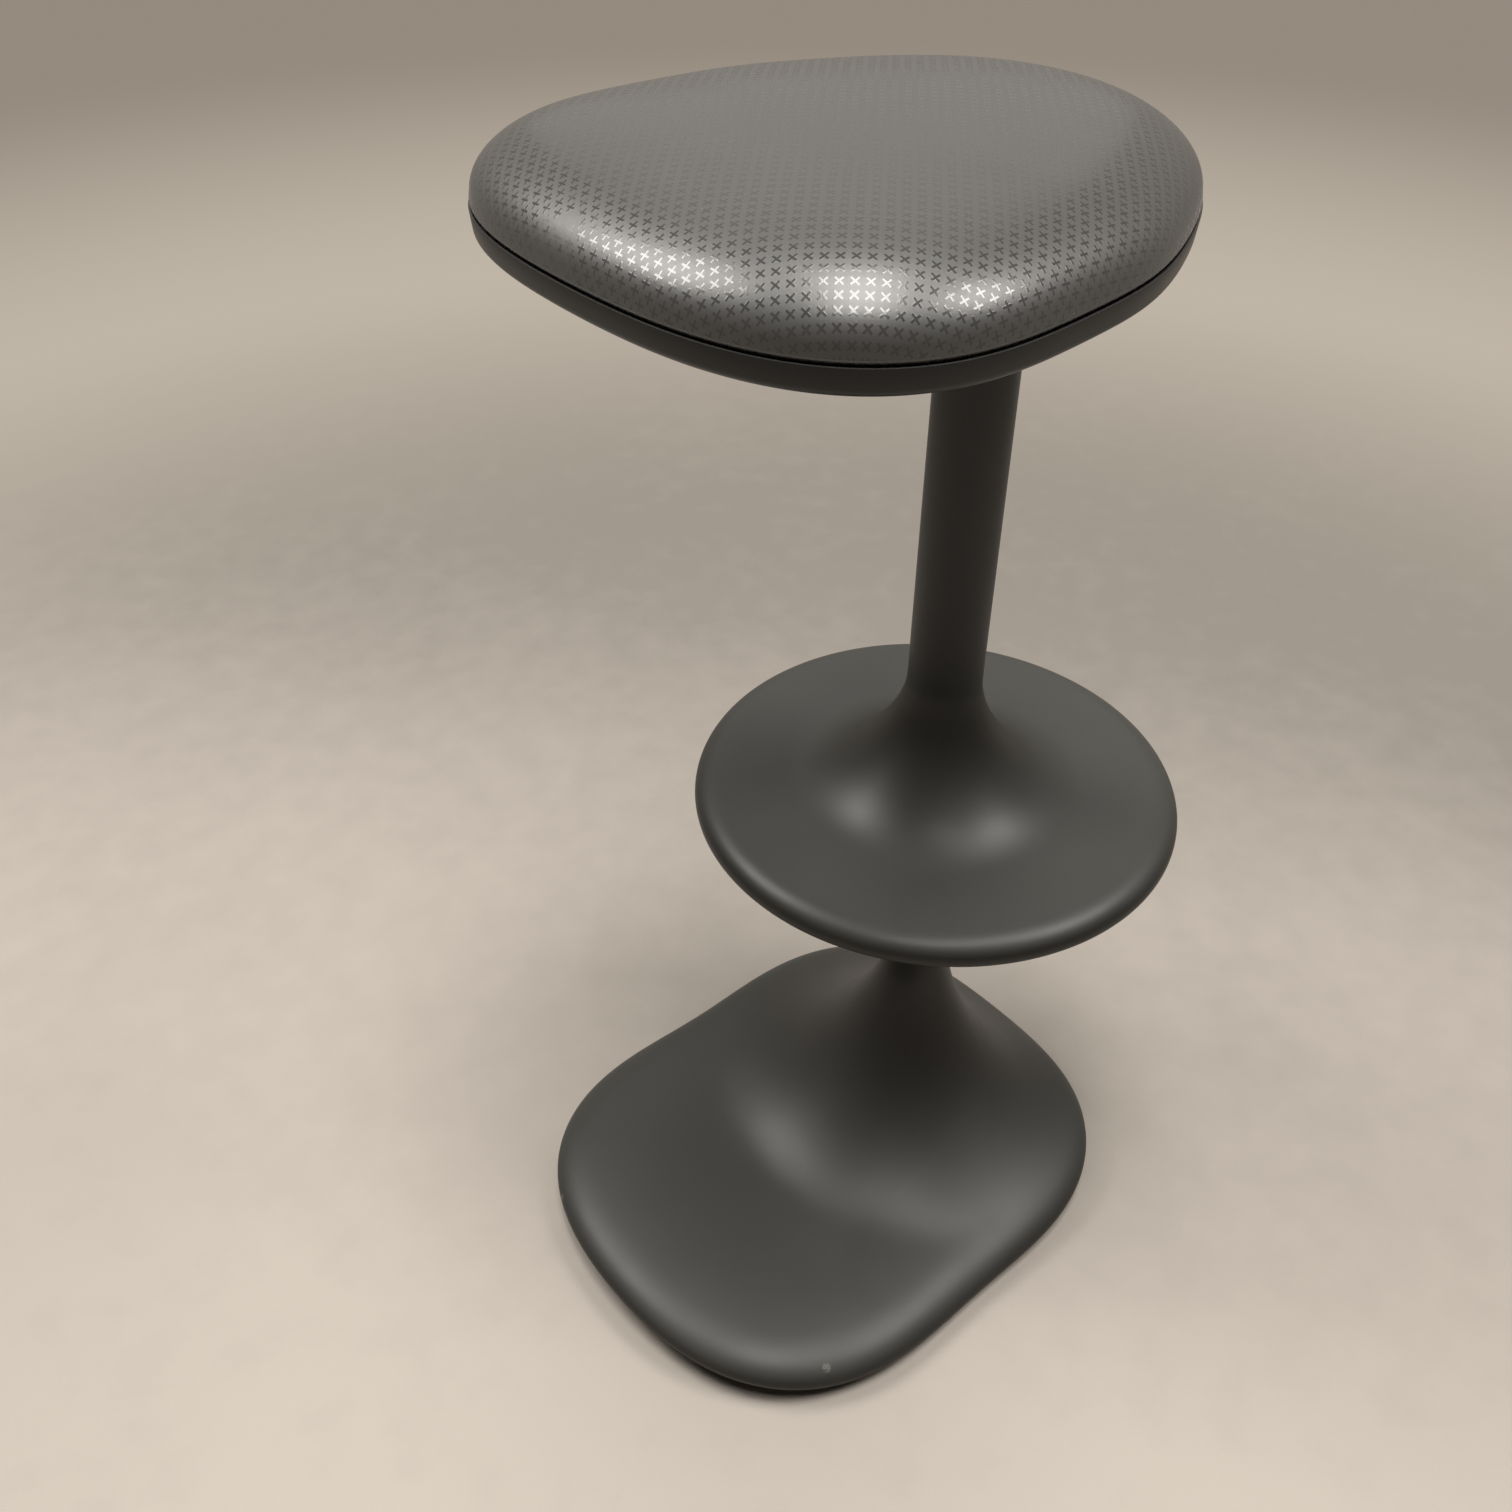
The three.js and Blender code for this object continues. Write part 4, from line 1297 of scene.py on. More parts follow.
    def shell(self) -> bpy.types.Object:
        """Builds the shell: neck, flare, plate, crown, rounded rim, lip and the inside of the wall.

        Returns:
            The object.
        """
        top_share = 1 + self.flare.top_ease
        start = self.neck(np.array([top_share]))
        column, start_height = start[..., :2], start[..., 2]
        offset = (column - self.middle) / self.flare.column_radius
        edge = column - offset * SEAT_GAP
        sleeve = self.middle + offset * SLEEVE_RADIUS
        height = self.neck_top + (start_height - self.neck_top) * np.linspace(0.0, 1.0, 8)[:-1, None]
        height[0] -= SEAT_GAP
        down = np.cos(np.linspace(QUARTER_TURN, 0.0, 28)[1:])
        crown_depth = self.crown_width * (1 - down ** (2 / self.crown_power))
        under = np.linspace(0.0, QUARTER_TURN, 9)[1:]
        under_rise = self.under_height * (1 - np.sin(under))
        rings = np.concatenate([
            raised(edge, self.neck_top),
            raised(np.repeat(column, len(height), axis=0), height),
            self.neck(np.linspace(top_share, self.neck_share, 30)),
            self.plate(np.linspace(0.0, 1.0, 34)[1:]),
            self.crown(crown_depth),
            self.below(self.under_width * (1 - np.cos(under)), under_rise[:, None]),
            self.below(np.array([self.solid_width])),
            self.crown(np.linspace(self.solid_width, self.crown_width, 4), self.wall),
            self.plate(np.linspace(1.0, 0.0, 10)[1:], self.wall),
            self.neck(np.array([0.6, 0.86]), self.wall),
            raised(sleeve, start_height),
            raised(sleeve, self.neck_top),
        ])
        piece = loft("base_skin", rings)
        return self.finishes.settle(piece, Slot.CHARCOAL, Body.STOOL, "base_shell")

    def bottom(self) -> bpy.types.Object:
        """Builds the plate that closes the shell, with round screw holes and an opening for the mount.

        Returns:
            The object.
        """
        edge = self.outline.drawn_in(self.turn, self.solid_width + SEAT_GAP)
        opening = self.mount_room * ray(self.turn)
        flat = opening + (edge - opening) * np.linspace(0.0, 1.0, 9)[:, None, None]
        inside = edge * (1 - SEAT_GAP / np.linalg.norm(edge, axis=-1, keepdims=True))
        height = self.underside(flat)
        rings = np.concatenate([
            raised(flat[:-1], height[:-1]),
            raised(inside[None], height[-1:]),
            raised(edge[None], height[-1:] + SEAT_GAP),
            raised(flat, height + self.plate_thickness)[::-1],
        ])
        piece = loft("base_floor", rings)
        low, _ = corners("bottom_plate")
        top = low[2] + self.end_lift + self.plate_thickness
        cut(piece, [M5.hole(node, top) for node in numbered("bottom_screw", 6)])
        return self.finishes.settle(piece, Slot.BLACK, Body.STOOL, "bottom_plate")

    def build(self) -> None:
        """Builds the shell, its floor and their screws."""
        self.shell()
        self.bottom()
        M5.fit("bottom_screw", 6, self.finishes)


@dataclass
class Footrest:
    """The column moulding with its round standing face, and the cover under it.

    Attributes:
        bead_radius: The radius of the rim's lower half.
        rim_width: How far in the rim's upper half is rounded.
        rim_height: From the rim's widest line up to the face beside the column.
        dish: How far the standing face rises to the rim.
        dish_start: The radius from which it rises.
        wall: The wall of the moulding.
        lip_width: The width of the solid rim.
        reach: How far the flare spreads on the face.
        fairing_reach: How far the fairing under the footrest spreads.
        fairing_height: Its height.
        hub_bore: The bore of the cover.
        neck_share: The share of the flare's height at which the face's own profile starts.
        edge: The size of small chamfers.
        flare: The flare over the standing face.
        facets: The steps in a full turn.
    """

    finishes: Finishes
    bead_radius: float = 0.0045
    rim_width: float = 0.0170
    rim_height: float = 0.0095
    dish: float = 0.0035
    dish_start: float = 0.060
    wall: float = 0.004
    lip_width: float = 0.015
    reach: float = 0.078
    fairing_reach: float = 0.040
    fairing_height: float = 0.026
    hub_bore: float = 0.0228
    neck_share: float = 0.34
    edge: float = 0.0006
    flare: Flare = Flare(0.086)
    facets: int = 256

    def __post_init__(self) -> None:
        """Reads the sizes that the frame gives."""
        low, high = corners("column_moulding")
        self.middle = axis_of("column_moulding")
        self.radius = (high[1] - low[1]) / 2
        self.low = low[2]
        self.top = high[2]
        self.widest = self.low + self.bead_radius
        self.face = self.widest + self.rim_height

    def _face(self, start: float) -> Array:
        """Gives the profile of the standing face and its rounded rim, from the neck outwards.

        The height is the face, plus the foot of the flare, plus the dish * (3t^2 - 2t^3), where t
        runs from 0 at the dish's inner radius to 1 at the rim. The rim is a quarter of an ellipse
        above its widest line and a quarter of a circle below it.

        Args:
            start: The radius where the neck ends.

        Returns:
            The profile [point, 2].
        """
        inner = self.radius - self.rim_width
        out = np.linspace(start, inner, 64)[1:]
        share = np.clip((out - self.dish_start) / (inner - self.dish_start), 0.0, 1.0)
        bowl = self.dish * (3 * share**2 - 2 * share**3)
        face = np.stack([out, self.face + self.flare.rise(out, self.reach) + bowl], axis=1)
        rim_size = np.array([self.rim_width, face[-1, 1] - self.widest])
        above = np.array([inner, self.widest]) + arc((0.0, 0.0), 1.0, QUARTER_TURN, 0.0, 18) * rim_size
        bead = (self.radius - self.bead_radius, self.widest)
        below = arc(bead, self.bead_radius, 0.0, -QUARTER_TURN, 12)
        return np.concatenate([face, above[1:], below[1:]])

    def moulding(self) -> bpy.types.Object:
        """Builds the column, its flare, the standing face, the rim and the inside of the wall.

        Returns:
            The object.
        """
        share = np.linspace(1 + self.flare.top_ease, self.neck_share, 30)
        neck = self._flare_profile(share)
        edge_radius = self.flare.column_radius - self.edge
        stem_height = np.linspace(self.top - self.edge, neck[0, 1], 10)[:-1]
        lip = self.radius - self.lip_width
        profile = np.concatenate([
            [(SLEEVE_RADIUS, self.top), (edge_radius, self.top)],
            np.column_stack([np.full_like(stem_height, neck[0, 0]), stem_height]),
            neck,
            self._face(neck[-1, 0]),
            [(lip + self.edge, self.low), (lip, self.low + self.edge), (lip, self.face - self.wall)],
            self._flare_profile(np.array([0.0, 0.04, 0.14, 0.34, 0.6, 0.86])) - self.wall,
            [(SLEEVE_RADIUS, self.face + self.flare.height)],
        ])
        piece = turned("column_and_footrest", profile, self.middle, self.facets)
        return self.finishes.settle(piece, Slot.CHARCOAL, Body.STOOL, "column_moulding")

    def _flare_profile(self, share: Array) -> Array:
        """Gives the flare's profile [point, 2] at shares of its height."""
        height = self.face + share * self.flare.height
        return np.stack([self.flare.radius(share, self.reach), height], axis=1)

    def cover(self) -> bpy.types.Object:
        """Builds the cover under the footrest, with its fairing and four sunk screw holes.

        Returns:
            The object.
        """
        _, high = corners("footrest_cover")
        top = high[2]
        side = self.radius - self.lip_width - SEAT_GAP
        share = np.linspace(0.0, 1.0, 22)
        spread = 1 - superellipse(share, self.flare.power)
        fairing_low = self.low - self.fairing_height
        fairing = np.stack([
            self.flare.column_radius + spread * self.fairing_reach,
            self.low - share * self.fairing_height,
        ], axis=1)
        profile = np.concatenate([
            [(self.hub_bore, top), (side, top), (side, self.low + self.edge)],
            [(side - self.edge, self.low), (side * 0.75, self.low), (side * 0.55, self.low)],
            fairing,
            [(self.hub_bore, fairing_low)],
        ])
        piece = turned("footrest_underside", profile, self.middle, 160)
        cut(piece, [M5.hole(node, top) for node in numbered("footrest_screw", 4)])
        return self.finishes.settle(piece, Slot.CHARCOAL, Body.STOOL, "footrest_cover")

    def build(self) -> None:
        """Builds the moulding, the cover and their screws."""
        self.moulding()
        self.cover()
        M5.fit("footrest_screw", 4, self.finishes)


@dataclass
class Seat:
    """The black pan, and the cushion that stands in it.

    Attributes:
        harmonic_shares: The swings of its outline.
        band_height: The height of the pan's upright band.
        band_draft: How far the band leans in towards its foot.
        corner_radius: Between the band and the underside.
        belly_inset: From the edge to where the pan is deepest.
        belly_rise: How far the underside has risen a little further out.
        wall: The pan's wall.
        lip: The width of its top edge.
        lip_depth: How deep the inside of the band is upright.
        edge: The rounding of the top edge.
        shoulder_width: The width of the cushion's rounded shoulder.
        shoulder_height: Its height over the pan's edge.
        side_end_share: The share of the shoulder's quarter turn that is left to the upright side.
        top_length: The length of the cushion's section from its middle to the shoulder.
        join_spread: How far the smoothing of the section reads the heights round a point.
        join_reach: How far from the shoulder's start the smoothing works.
        crown: The rise of the crown that lies over the whole cushion.
        inset: From the pan's edge to the cushion's widest line.
        tuck: How far the cushion's side draws in at the pan.
        tuck_height: The height of its widest line.
        lift: The height of the drawn-in line.
        hem_depth: How far the hem has gone down where it starts to turn in.
        hem_insets: The insets of the hem's last rings, under the board.
        cover: The thickness of the cover.
        swell: The most that the padding may move a point of the cover.
        slack: How much smaller the cover starts before the padding swells it.
        evening: How often the swell is evened out.
        cloth_frames: The frames of the cloth simulation.
        facets: The steps round the outline.
        cloth_steps: The steps along a side of the cover's grid.
    """

    finishes: Finishes
    harmonic_shares: tuple[float, ...] = (0.16, 0.065, -0.002, 0.0255)
    band_height: float = 0.009
    band_draft: float = 0.0009
    corner_radius: float = 0.004
    belly_inset: float = 0.040
    belly_rise: float = 0.00012
    wall: float = 0.004
    lip: float = 0.0016
    lip_depth: float = 0.005
    edge: float = 0.0005
    shoulder_width: float = 0.058
    shoulder_height: float = 0.0335
    side_end_share: float = 0.07
    top_length: float = 0.118
    join_spread: float = 0.012
    join_reach: float = 0.030
    crown: float = 0.0095
    inset: float = 0.0
    tuck: float = 0.0016
    tuck_height: float = 0.005
    lift: float = 0.0006
    hem_depth: float = 0.0016
    hem_insets: tuple[float, ...] = (0.0060, 0.0120, 0.0240)
    cover: float = 0.0012
    swell: float = 0.0016
    slack: float = 0.0012
    evening: int = 24
    cloth_frames: int = 20
    facets: int = 240
    cloth_steps: int = 112

    def __post_init__(self) -> None:
        """Reads the sizes that the frame gives."""
        low, high = corners("seat_pan")
        self.outline = Outline(high[0] - low[0], high[1] - low[1], self.harmonic_shares)
        self.seam = high[2]
        self.pan_low = low[2]
        self.pan_floor = self.pan_low + self.wall
        board_low, board_high = corners("seat_board")
        self.board_low = board_low[2]
        self.board_high = board_high[2]
        self.turn = around(self.facets)

    @staticmethod
    def _shrunk(ring: Array, shares: Sequence[float]) -> Array:
        """Gives copies of a ring drawn towards the middle of the seat."""
        return np.array([ring * (share, share, 1.0) for share in shares])

    def pan(self) -> bpy.types.Object:
        """Builds the pan: underside, corner, upright band, thin lip and floor, with its holes.

        Returns:
            The object.
        """
        corner_inset = self.band_draft + self.corner_radius
        corner = (corner_inset, self.seam - self.band_height)
        ease, seam = self.edge, self.seam
        profile = np.concatenate([
            [(self.belly_inset, self.pan_low), (self.belly_inset * 0.6, self.pan_low + self.belly_rise)],
            arc(corner, self.corner_radius, -QUARTER_TURN, -2 * QUARTER_TURN, 9),
            [(ease / 6, seam - ease), (ease * 0.45, seam - ease * 0.2), (ease, seam)],
            [(self.lip - ease, seam), (self.lip - ease * 0.2, seam - ease * 0.3), (self.lip, seam - ease)],
            [(self.lip, seam - self.lip_depth), (corner_inset, self.pan_floor)],
        ])
        rings = raised(self.outline.rings(self.turn, profile[:, 0]), profile[:, 1:])
        inner, outer = self._shrunk(rings[0], (0.3, 0.6, 0.85)), self._shrunk(rings[-1], (0.8, 0.5))
        poles = [(0, 0, self.pan_low), (0, 0, self.pan_floor)]
        piece = loft("seat_pan_skin", np.concatenate([inner, rings, outer]), poles)
        ends = (self.pan_low - OVERRUN, self.pan_floor + OVERRUN)
        line = np.array([(SLEEVE_RADIUS, z) for z in ends])
        bore = turned("pan_bore", line, axis_of("core_tube"), 64, ends)
        cut(piece, [bore] + [M4.hole(node, self.pan_floor) for node in numbered("pan_screw", 4)])
        return self.finishes.settle(piece, Slot.BLACK, Body.STOOL, "seat_pan")

    def _section(self, sunk: float) -> tuple[Array, Array, Array]:
        """Gives the cushion's section from its middle out to the drawn-in line.

        The shoulder is a quarter of an ellipse that stands on the widest line, and a crown of
        crown * (1 - s^2) lies over the whole way s from the middle to the side. The heights are
        smoothed along the section by a bell curve where the shoulder starts, so that it starts
        unseen.

        Args:
            sunk: How far the section is drawn in and down.

        Returns:
            The way along the section, its inset (negative on the top, where it isn't used), and
            its height.
        """
        width = self.shoulder_width - sunk
        rise = self.shoulder_height - self.tuck_height - sunk
        top = np.linspace(0.0, self.top_length, 120)[:-1]
        angle = np.linspace(QUARTER_TURN, self.side_end_share * QUARTER_TURN, 80)
        shoulder_inset = self.inset + sunk + width * (1 - np.cos(angle))
        shoulder_rise = rise * np.sin(angle)
        run = np.hypot(np.diff(shoulder_inset), np.diff(shoulder_rise)).cumsum()
        way = np.concatenate([top, [self.top_length], self.top_length + run])
        inset = np.concatenate([top * 0 - 1, shoulder_inset])
        height = self.seam + self.tuck_height + np.concatenate([top * 0 + rise, shoulder_rise])
        height = height + self.crown * (1 - (way / way[-1]) ** 2)
        even = np.linspace(0.0, way[-1], 600)
        level = np.interp(even, way, height)
        spread = np.arange(-100, 101) * even[1]
        bell = np.exp(-0.5 * (spread / self.join_spread) ** 2)
        near_join = np.exp(-0.5 * ((even - self.top_length) / self.join_reach) ** 2)
        mirrored = np.concatenate([level[100:0:-1], level, 2 * level[-1] - level[-2:-102:-1]])
        smoothed = np.convolve(mirrored, bell / bell.sum(), mode="valid")
        return even, np.interp(even, way, inset), level + (smoothed - level) * near_join

    def _inner_line(self, turn: Array) -> tuple[Array, Array]:
        """Gives the shoulder's inner line, and the unit way out from it.

        Args:
            turn: The turns round the outline.

        Returns:
            The line's points and the ways, each [..., 2].
        """
        deep_line = self.inset + self.shoulder_width
        inner = self.outline.drawn_in(turn, deep_line)
        return inner, self.outline.drawn_in(turn, deep_line - 1.0) - inner

    def _cushion_points(self, way_share: Array, turn: Array, sunk: float) -> tuple[Array, Array]:
        """Gives points of the cushion's skin and their places on the flat cloth.

        On the top a point lies its share of the way from the middle to the shoulder's inner line.
        On the shoulder it lies on the outline, drawn in. The cloth's own place is the top's plan,
        carried on square to the shoulder's inner line by the length of the section.

        Args:
            way_share: The share of the way from the middle to the side.
            turn: The turn round the outline.
            sunk: How far the skin is drawn in and down.

        Returns:
            The points [..., 3] and the cloth's places [..., 2].
        """
        way, inset, height = self._section(sunk)
        here = way_share * way[-1]
        on_top = here < self.top_length
        beyond = way >= self.top_length
        inner, outward = self._inner_line(turn)
        plan = inner * (here / self.top_length)[..., None]
        side_depth = np.interp(here, way[beyond], inset[beyond])
        depth = np.where(on_top, self.inset + self.shoulder_width, side_depth)
        flat = np.where(on_top[..., None], plan, self.outline.drawn_in(turn, depth))
        carried = inner + outward * (here - self.top_length)[..., None]
        cloth = np.where(on_top[..., None], plan, carried)
        return raised(flat, np.interp(here, way, height)), cloth

    def _disc(self) -> tuple[Array, Array]:
        """Spreads a square grid over a disc, so that the skin has no pole.

        A point (u, v) of the square goes to (u sqrt(1 - v^2 / 2), v sqrt(1 - u^2 / 2)).

        Returns:
            The share of the radius and the turn of each point [steps + 1, steps + 1].
        """
        line = np.linspace(-1.0, 1.0, self.cloth_steps + 1)
        u, v = np.meshgrid(line, line, indexing="ij")
        a = u * np.sqrt(1 - v**2 / 2)
        b = v * np.sqrt(1 - u**2 / 2)
        return np.clip(np.hypot(a, b), 0.0, 1.0), np.arctan2(b, a)

    def _pad(self, name: str, sunk: float, hem: Sequence[tuple[float, float]]) -> bpy.types.Object:
        """Builds a cushion skin on a square grid, with further rings below its edge.

        The grid's border is walked once round, and each hem ring is the outline at an inset and a
        height, taken at the border's own turns.

        Args:
            name: The piece's name.
            sunk: How far the skin is drawn in and down.
            hem: The insets and heights of the rings that follow the edge.

        Returns:
            The object, open below, with the UV map "cloth" in metres.
        """
        share, turn = self._disc()
        points, cloth = self._cushion_points(share, turn, sunk)
        number = np.arange(share.size).reshape(share.shape)
        quads = np.stack([number[:-1, :-1], number[1:, :-1], number[1:, 1:], number[:-1, 1:]], axis=-1)
        ring = np.concatenate([number[:-1, 0], number[-1, :-1], number[:0:-1, -1], number[0, :0:-1]])
        faces, places, cloths = [quads.reshape(-1, 4)], [points.reshape(-1, 3)], [cloth.reshape(-1, 2)]
        edge_turn = turn.ravel()[ring]
        inner, outward = self._inner_line(edge_turn)
        edge_way = np.linalg.norm(cloths[0][ring] - inner, axis=1)
        _, insets, heights = self._section(sunk)
        last = (insets[-1], heights[-1])
        after = share.size + np.arange(len(ring))
        for step in hem:
            edge_way = edge_way + math.dist(step, last)
            places.append(raised(self.outline.drawn_in(edge_turn, step[0]), step[1]))
            cloths.append(inner + outward * edge_way[:, None])
            faces.append(np.stack([ring, after, np.roll(after, -1), np.roll(ring, -1)], axis=1))
            ring = after
            after = after + len(ring)
            last = step
        piece = make_object(name, np.concatenate(places), np.concatenate(faces).tolist())
        if piece.data.polygons[0].normal.z < 0:
            piece.data.flip_normals()
        corner_points = read(piece.data.loops, "vertex_index", 1, np.int32).ravel()
        layer = piece.data.uv_layers.new(name="cloth")
        layer.data.foreach_set("uv", np.concatenate(cloths)[corner_points].astype(np.float32).ravel())
        return piece

    def _inflate(self, piece: bpy.types.Object) -> None:
        """Lets the padding press the cover out, and caps how far each point may move.

        The cover's lowest rings are pinned. Gravity is off, and the pressure works from the first
        frame to the last. The foam holds the cover from behind, so only the outward part of each
        move counts. A move m becomes swell * tanh(m / swell), and is evened out over its neighbours.

        Args:
            piece: The cover before it is thickened.
        """
        mesh = piece.data
        rest = read(mesh.vertices, "co", 3)
        outward = read(mesh.vertices, "normal", 3)
        ends = read(mesh.edges, "vertices", 2, np.int32)
        pinned = np.nonzero(rest[:, 2] < self.seam + self.tuck_height)[0]
        piece.vertex_groups.new(name="pinned").add(pinned.tolist(), 1.0, "REPLACE")
        cloth = piece.modifiers.new("padding", "CLOTH")
        settings = cloth.settings
        settings.quality = 5
        settings.mass = 0.35
        settings.tension_stiffness = 60
        settings.compression_stiffness = 60
        settings.shear_stiffness = 30
        settings.bending_stiffness = 20
        settings.use_pressure = True
        settings.uniform_pressure_force = 4
        settings.vertex_group_mass = "pinned"
        settings.effector_weights.gravity = 0
        cloth.point_cache.frame_start = 1
        cloth.point_cache.frame_end = self.cloth_frames
        scene = bpy.context.scene
        for number in range(1, self.cloth_frames + 1):
            scene.frame_set(number)
        blown = piece.evaluated_get(bpy.context.evaluated_depsgraph_get())
        move = read(blown.data.vertices, "co", 3) - rest
        out = np.maximum((move * outward).sum(axis=1), 0.0)
        log.info("cushion: padding presses the cover out by up to %.1f mm", out.max() * 1000)
        out = self.swell * np.tanh(out / self.swell)
        share = np.bincount(ends.ravel(), minlength=len(out))
        for _ in range(self.evening):
            total = np.bincount(ends[:, 0], out[ends[:, 1]], len(out))
            total += np.bincount(ends[:, 1], out[ends[:, 0]], len(out))
            out = (out + total / share) / 2
            out[pinned] = 0.0
        piece.modifiers.remove(cloth)
        scene.frame_set(1)
        mesh.vertices.foreach_set("co", (rest + outward * out[:, None]).ravel())
        mesh.update()

    def cushion(self) -> bpy.types.Object:
        """Builds the printed cover: crowned top, rounded shoulder, drawn-in side and turned-in hem.

        Returns:
            The object.
        """
        under = self.board_low - SEAT_GAP - self.cover
        hem = [
            ((self.inset + self.slack) * 0.94, self.seam + self.tuck_height),
            (self.inset + self.tuck * 0.35, self.seam + self.tuck_height * 0.55),
            (self.inset + self.tuck * 0.75, self.seam + self.tuck_height * 0.3),
            (self.inset + self.tuck * 1.3, self.seam + self.lift),
            (0.0050, self.seam - self.hem_depth),
        ]
        hem += [(inset, under) for inset in self.hem_insets]
        piece = self._pad("seat_cushion", self.slack, hem)
        self._inflate(piece)
        thick = piece.modifiers.new("cover_thickness", "SOLIDIFY")
        thick.thickness = self.cover
        thick.offset = -1.0
        smooth_cloth = piece.modifiers.new("smooth_cloth", "SUBSURF")
        smooth_cloth.levels = 1
        smooth_cloth.render_levels = 1
        self.finishes.settle(piece, Slot.COVER, Body.STOOL, "seat_cover")
        return piece

    def foam(self) -> bpy.types.Object:
        """Builds the foam body under the cover as a closed loft.

        Returns:
            The object.
        """
        sunk = self.slack + self.cover + 2 * SEAT_GAP
        share = np.concatenate([np.linspace(0.12, 0.66, 8), np.linspace(0.7, 1.0, 12)])
        skin, _ = self._cushion_points(*np.broadcast_arrays(share[:, None], self.turn), sunk)
        foam_low = self.board_high + SEAT_GAP
        edge = raised(self.outline.drawn_in(self.turn, self.inset + self.tuck + sunk), foam_low)
        crown = self.seam + self.shoulder_height - sunk + self.crown
        rings = np.concatenate([skin, self._shrunk(edge, (1.0, 0.7, 0.4))])
        piece = loft("cushion_foam", rings, [(0, 0, crown), (0, 0, foam_low)])
        self.finishes.settle(piece, Slot.FOAM, Body.STOOL, "seat_foam")
        return piece

    def build(self) -> None:
        """Builds the pan, the foam, the cover and the pan's screws."""
        self.pan()
        self.foam()
        self.cushion()
        M4.fit("pan_screw", 4, self.finishes)


# Studio


def towards(heading: float, climb: float) -> Vector:
    """Gives the unit vector (cos h cos c, sin h cos c, sin c) for degrees h from +X and c upwards."""
    h, c = math.radians(heading), math.radians(climb)
    return Vector((math.cos(h) * math.cos(c), math.sin(h) * math.cos(c), math.sin(c)))


@dataclass(frozen=True)
class Lamp:
    """A soft rectangular lamp that points at the middle of the stool.

    Attributes:
        name: Its name.
        heading: Where it hangs seen from the stool, in degrees from +X towards +Y.
        climb: How high it hangs, in degrees over the level.
        width: Its size from left to right.
        length: Its size up and down, or to and fro where it hangs overhead.
        power: Its power in watts.
        distance: How far it is from the target.
        target: The place that it points at.
        colour: Its colour.
    """

    name: str
    heading: float
    climb: float
    width: float
    length: float
    power: float
    distance: float = 2.7
    target: Point = (0.05, 0.0, 0.45)
    colour: Colour = (1.0, 0.97, 0.93)

    def make(self) -> None:
        """Makes the lamp."""
        light = bpy.data.lights.new(self.name, "AREA")
        light.shape = "RECTANGLE"
        light.size = self.width
        light.size_y = self.length
        light.energy = self.power
        light.color = self.colour
        away = towards(self.heading, self.climb)
        lamp = bpy.data.objects.new(self.name, light)
        lamp.location = Vector(self.target) + away * self.distance
        lamp.rotation_mode = "QUATERNION"
        lamp.rotation_quaternion = away.to_track_quat("Z", "Y")
        bpy.context.scene.collection.objects.link(lamp)


